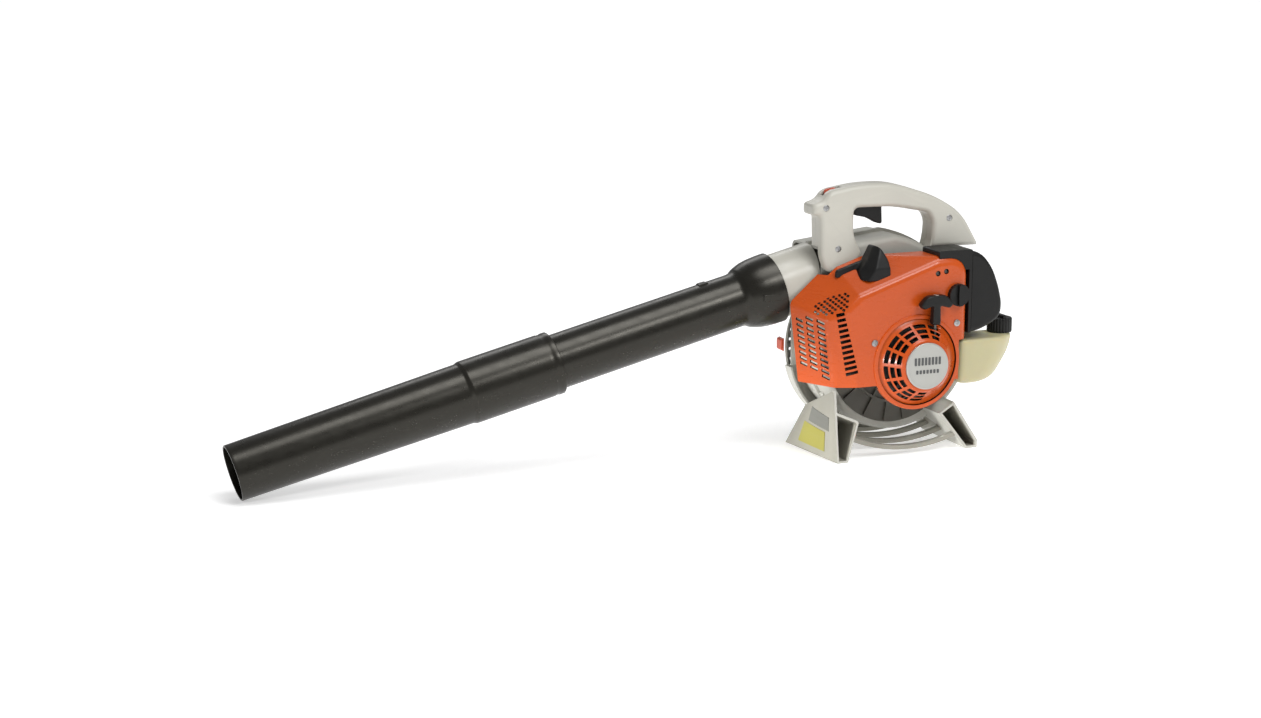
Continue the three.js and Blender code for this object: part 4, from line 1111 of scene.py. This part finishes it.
def small_parts():
    latch_corners = [(-116.4, 119, 1), (-116.4, 137, 1), (-120.4, 135, 2), (-120.4, 121, 2)]
    latch = prism("screen_latch", fillet(latch_corners, 6), 60, 75)
    soften(latch, 0.6, 2, 40)
    settle(latch, "red", body="latch", replaces=["intake_latch"], sharp=40)
    for end, (x, z) in SHROUD_SCREWS.items():
        recessed_screw(f"cover_screw_{end}", x, SHROUD_NEAR, z, 4.3, replaces=[f"shroud_screw_{end}"])
    profile = [(0, -88), (2.2, -88), (2.6, -87.6), (2.6, -72), (0, -72)]
    for k, spot in enumerate(ADJUSTERS):
        settle(lathe(f"adjuster_{k}", profile, about_y(*spot), 24), "dark_steel")


INNER_FINISHES = {
    "black": ("fan_wheel", "rope_pulley", "ignition_module"),
    # The flywheel is dark so that the louvres over it read dark: painted shade.
    "dark_steel": ("flywheel",),
    "alloy": ("crankcase_starter_side", "crankcase_fan_side", "cylinder", "piston", "carburettor"),
    "steel": ("crankshaft", "bearing_starter_side", "bearing_fan_side", "wrist_pin", "connecting_rod",
              "spark_plug", "screen_hinge_pin", "recoil_spring"),
    "muffler": ("muffler",),
    "rubber": ("intake_manifold", "fuel_hose", "throttle_cable"),
    "foam": ("filter_element",),
}


def dress_inner_parts():
    for finish, nodes in INNER_FINISHES.items():
        for node in nodes:
            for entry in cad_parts[node].material_slots:
                entry.material = MAT[finish]


# ---------------------------------------------------------------- floor, light and camera

def floor_material():
    n = Nodes("floor_paper")
    broad = n.noise(1.5, 3)
    paper = n.mix(n.spread(broad, 0, 1), (0.90, 0.90, 0.905), (0.92, 0.92, 0.922))
    n.link(paper, n.shader.inputs["Base Color"])
    n.set(Roughness=0.8, Emission_Color=(1, 1, 1, 1), Emission_Strength=0.47)
    n.bump(n.noise(600, 2), 0.02, 0.0002)
    return n.material


def make_floor():
    size, height = 40, -0.0006
    corners = [(-size, -size), (size, -size), (size, size), (-size, size)]
    floor = new_object("floor", [(x, y, height) for x, y in corners], [(0, 1, 2, 3)])
    floor.data.materials.append(floor_material())


def area_light(name, position, target, size, power, spread=180):
    data = bpy.data.lights.new(name, "AREA")
    data.spread = math.radians(spread)
    data.shape = "RECTANGLE"
    data.size, data.size_y = size
    data.energy = power
    light = add_to_scene(name, data)
    light.location = position
    light.rotation_euler = (Vector(target) - Vector(position)).to_track_quat("-Z", "Y").to_euler()


def sun_light(name, towards, spread, strength):
    data = bpy.data.lights.new(name, "SUN")
    data.energy = strength
    data.angle = math.radians(spread)
    add_to_scene(name, data).rotation_euler = Vector(towards).to_track_quat("Z", "Y").to_euler()


def make_lights():
    world = bpy.data.worlds.new("studio")
    bpy.context.scene.world = world
    world.use_nodes = True
    background = world.node_tree.nodes["Background"]
    background.inputs["Color"].default_value = (1, 1, 1, 1)
    background.inputs["Strength"].default_value = 0.28
    sun_light("overhead", (0.1, -0.3, 1.0), 30, 1.1)
    area_light("key", (0.9, -2.3, 2.3), (0.1, 0, 0.2), (1.4, 0.6), 34)
    area_light("rim", (0.6, 2.2, 1.8), (0.1, 0, 0.2), (1.8, 0.8), 10)
    area_light("low_fill", (-1.6, -0.5, 0.1), (0.24, 0, 0), (0.3, 0.2), 0.3, spread=10)


def make_camera():
    data = bpy.data.cameras.new("camera")
    data.sensor_width = 36
    data.lens = 66.66
    data.clip_end = 100
    camera = add_to_scene("camera", data)
    camera.location = ORIGIN + Vector((-1.4236, -2.6756, 0.7407))
    camera.rotation_euler = (math.radians(78.2), 0, math.radians(-21.7))
    bpy.context.scene.camera = camera


make_camera()
make_lights()
make_floor()
bpy.context.scene.view_settings.view_transform = "Standard"

fan_housing()
intake_screen()
outlet_spigot()
blower_tube()
nozzle()
engine_shroud()
spark_plug_boot()
starter_cover()
badge()
starter_grip()
starter_rope()
choke_knob()
room = housing_room()
handle(room)
base_stand(room)
throttle_trigger()
setting_lever()
filter_base()
filter_cover()
fuel_tank()
fuel_cap()
foot_plates()
under_shroud_shade_plate()
small_parts()
dress_inner_parts()
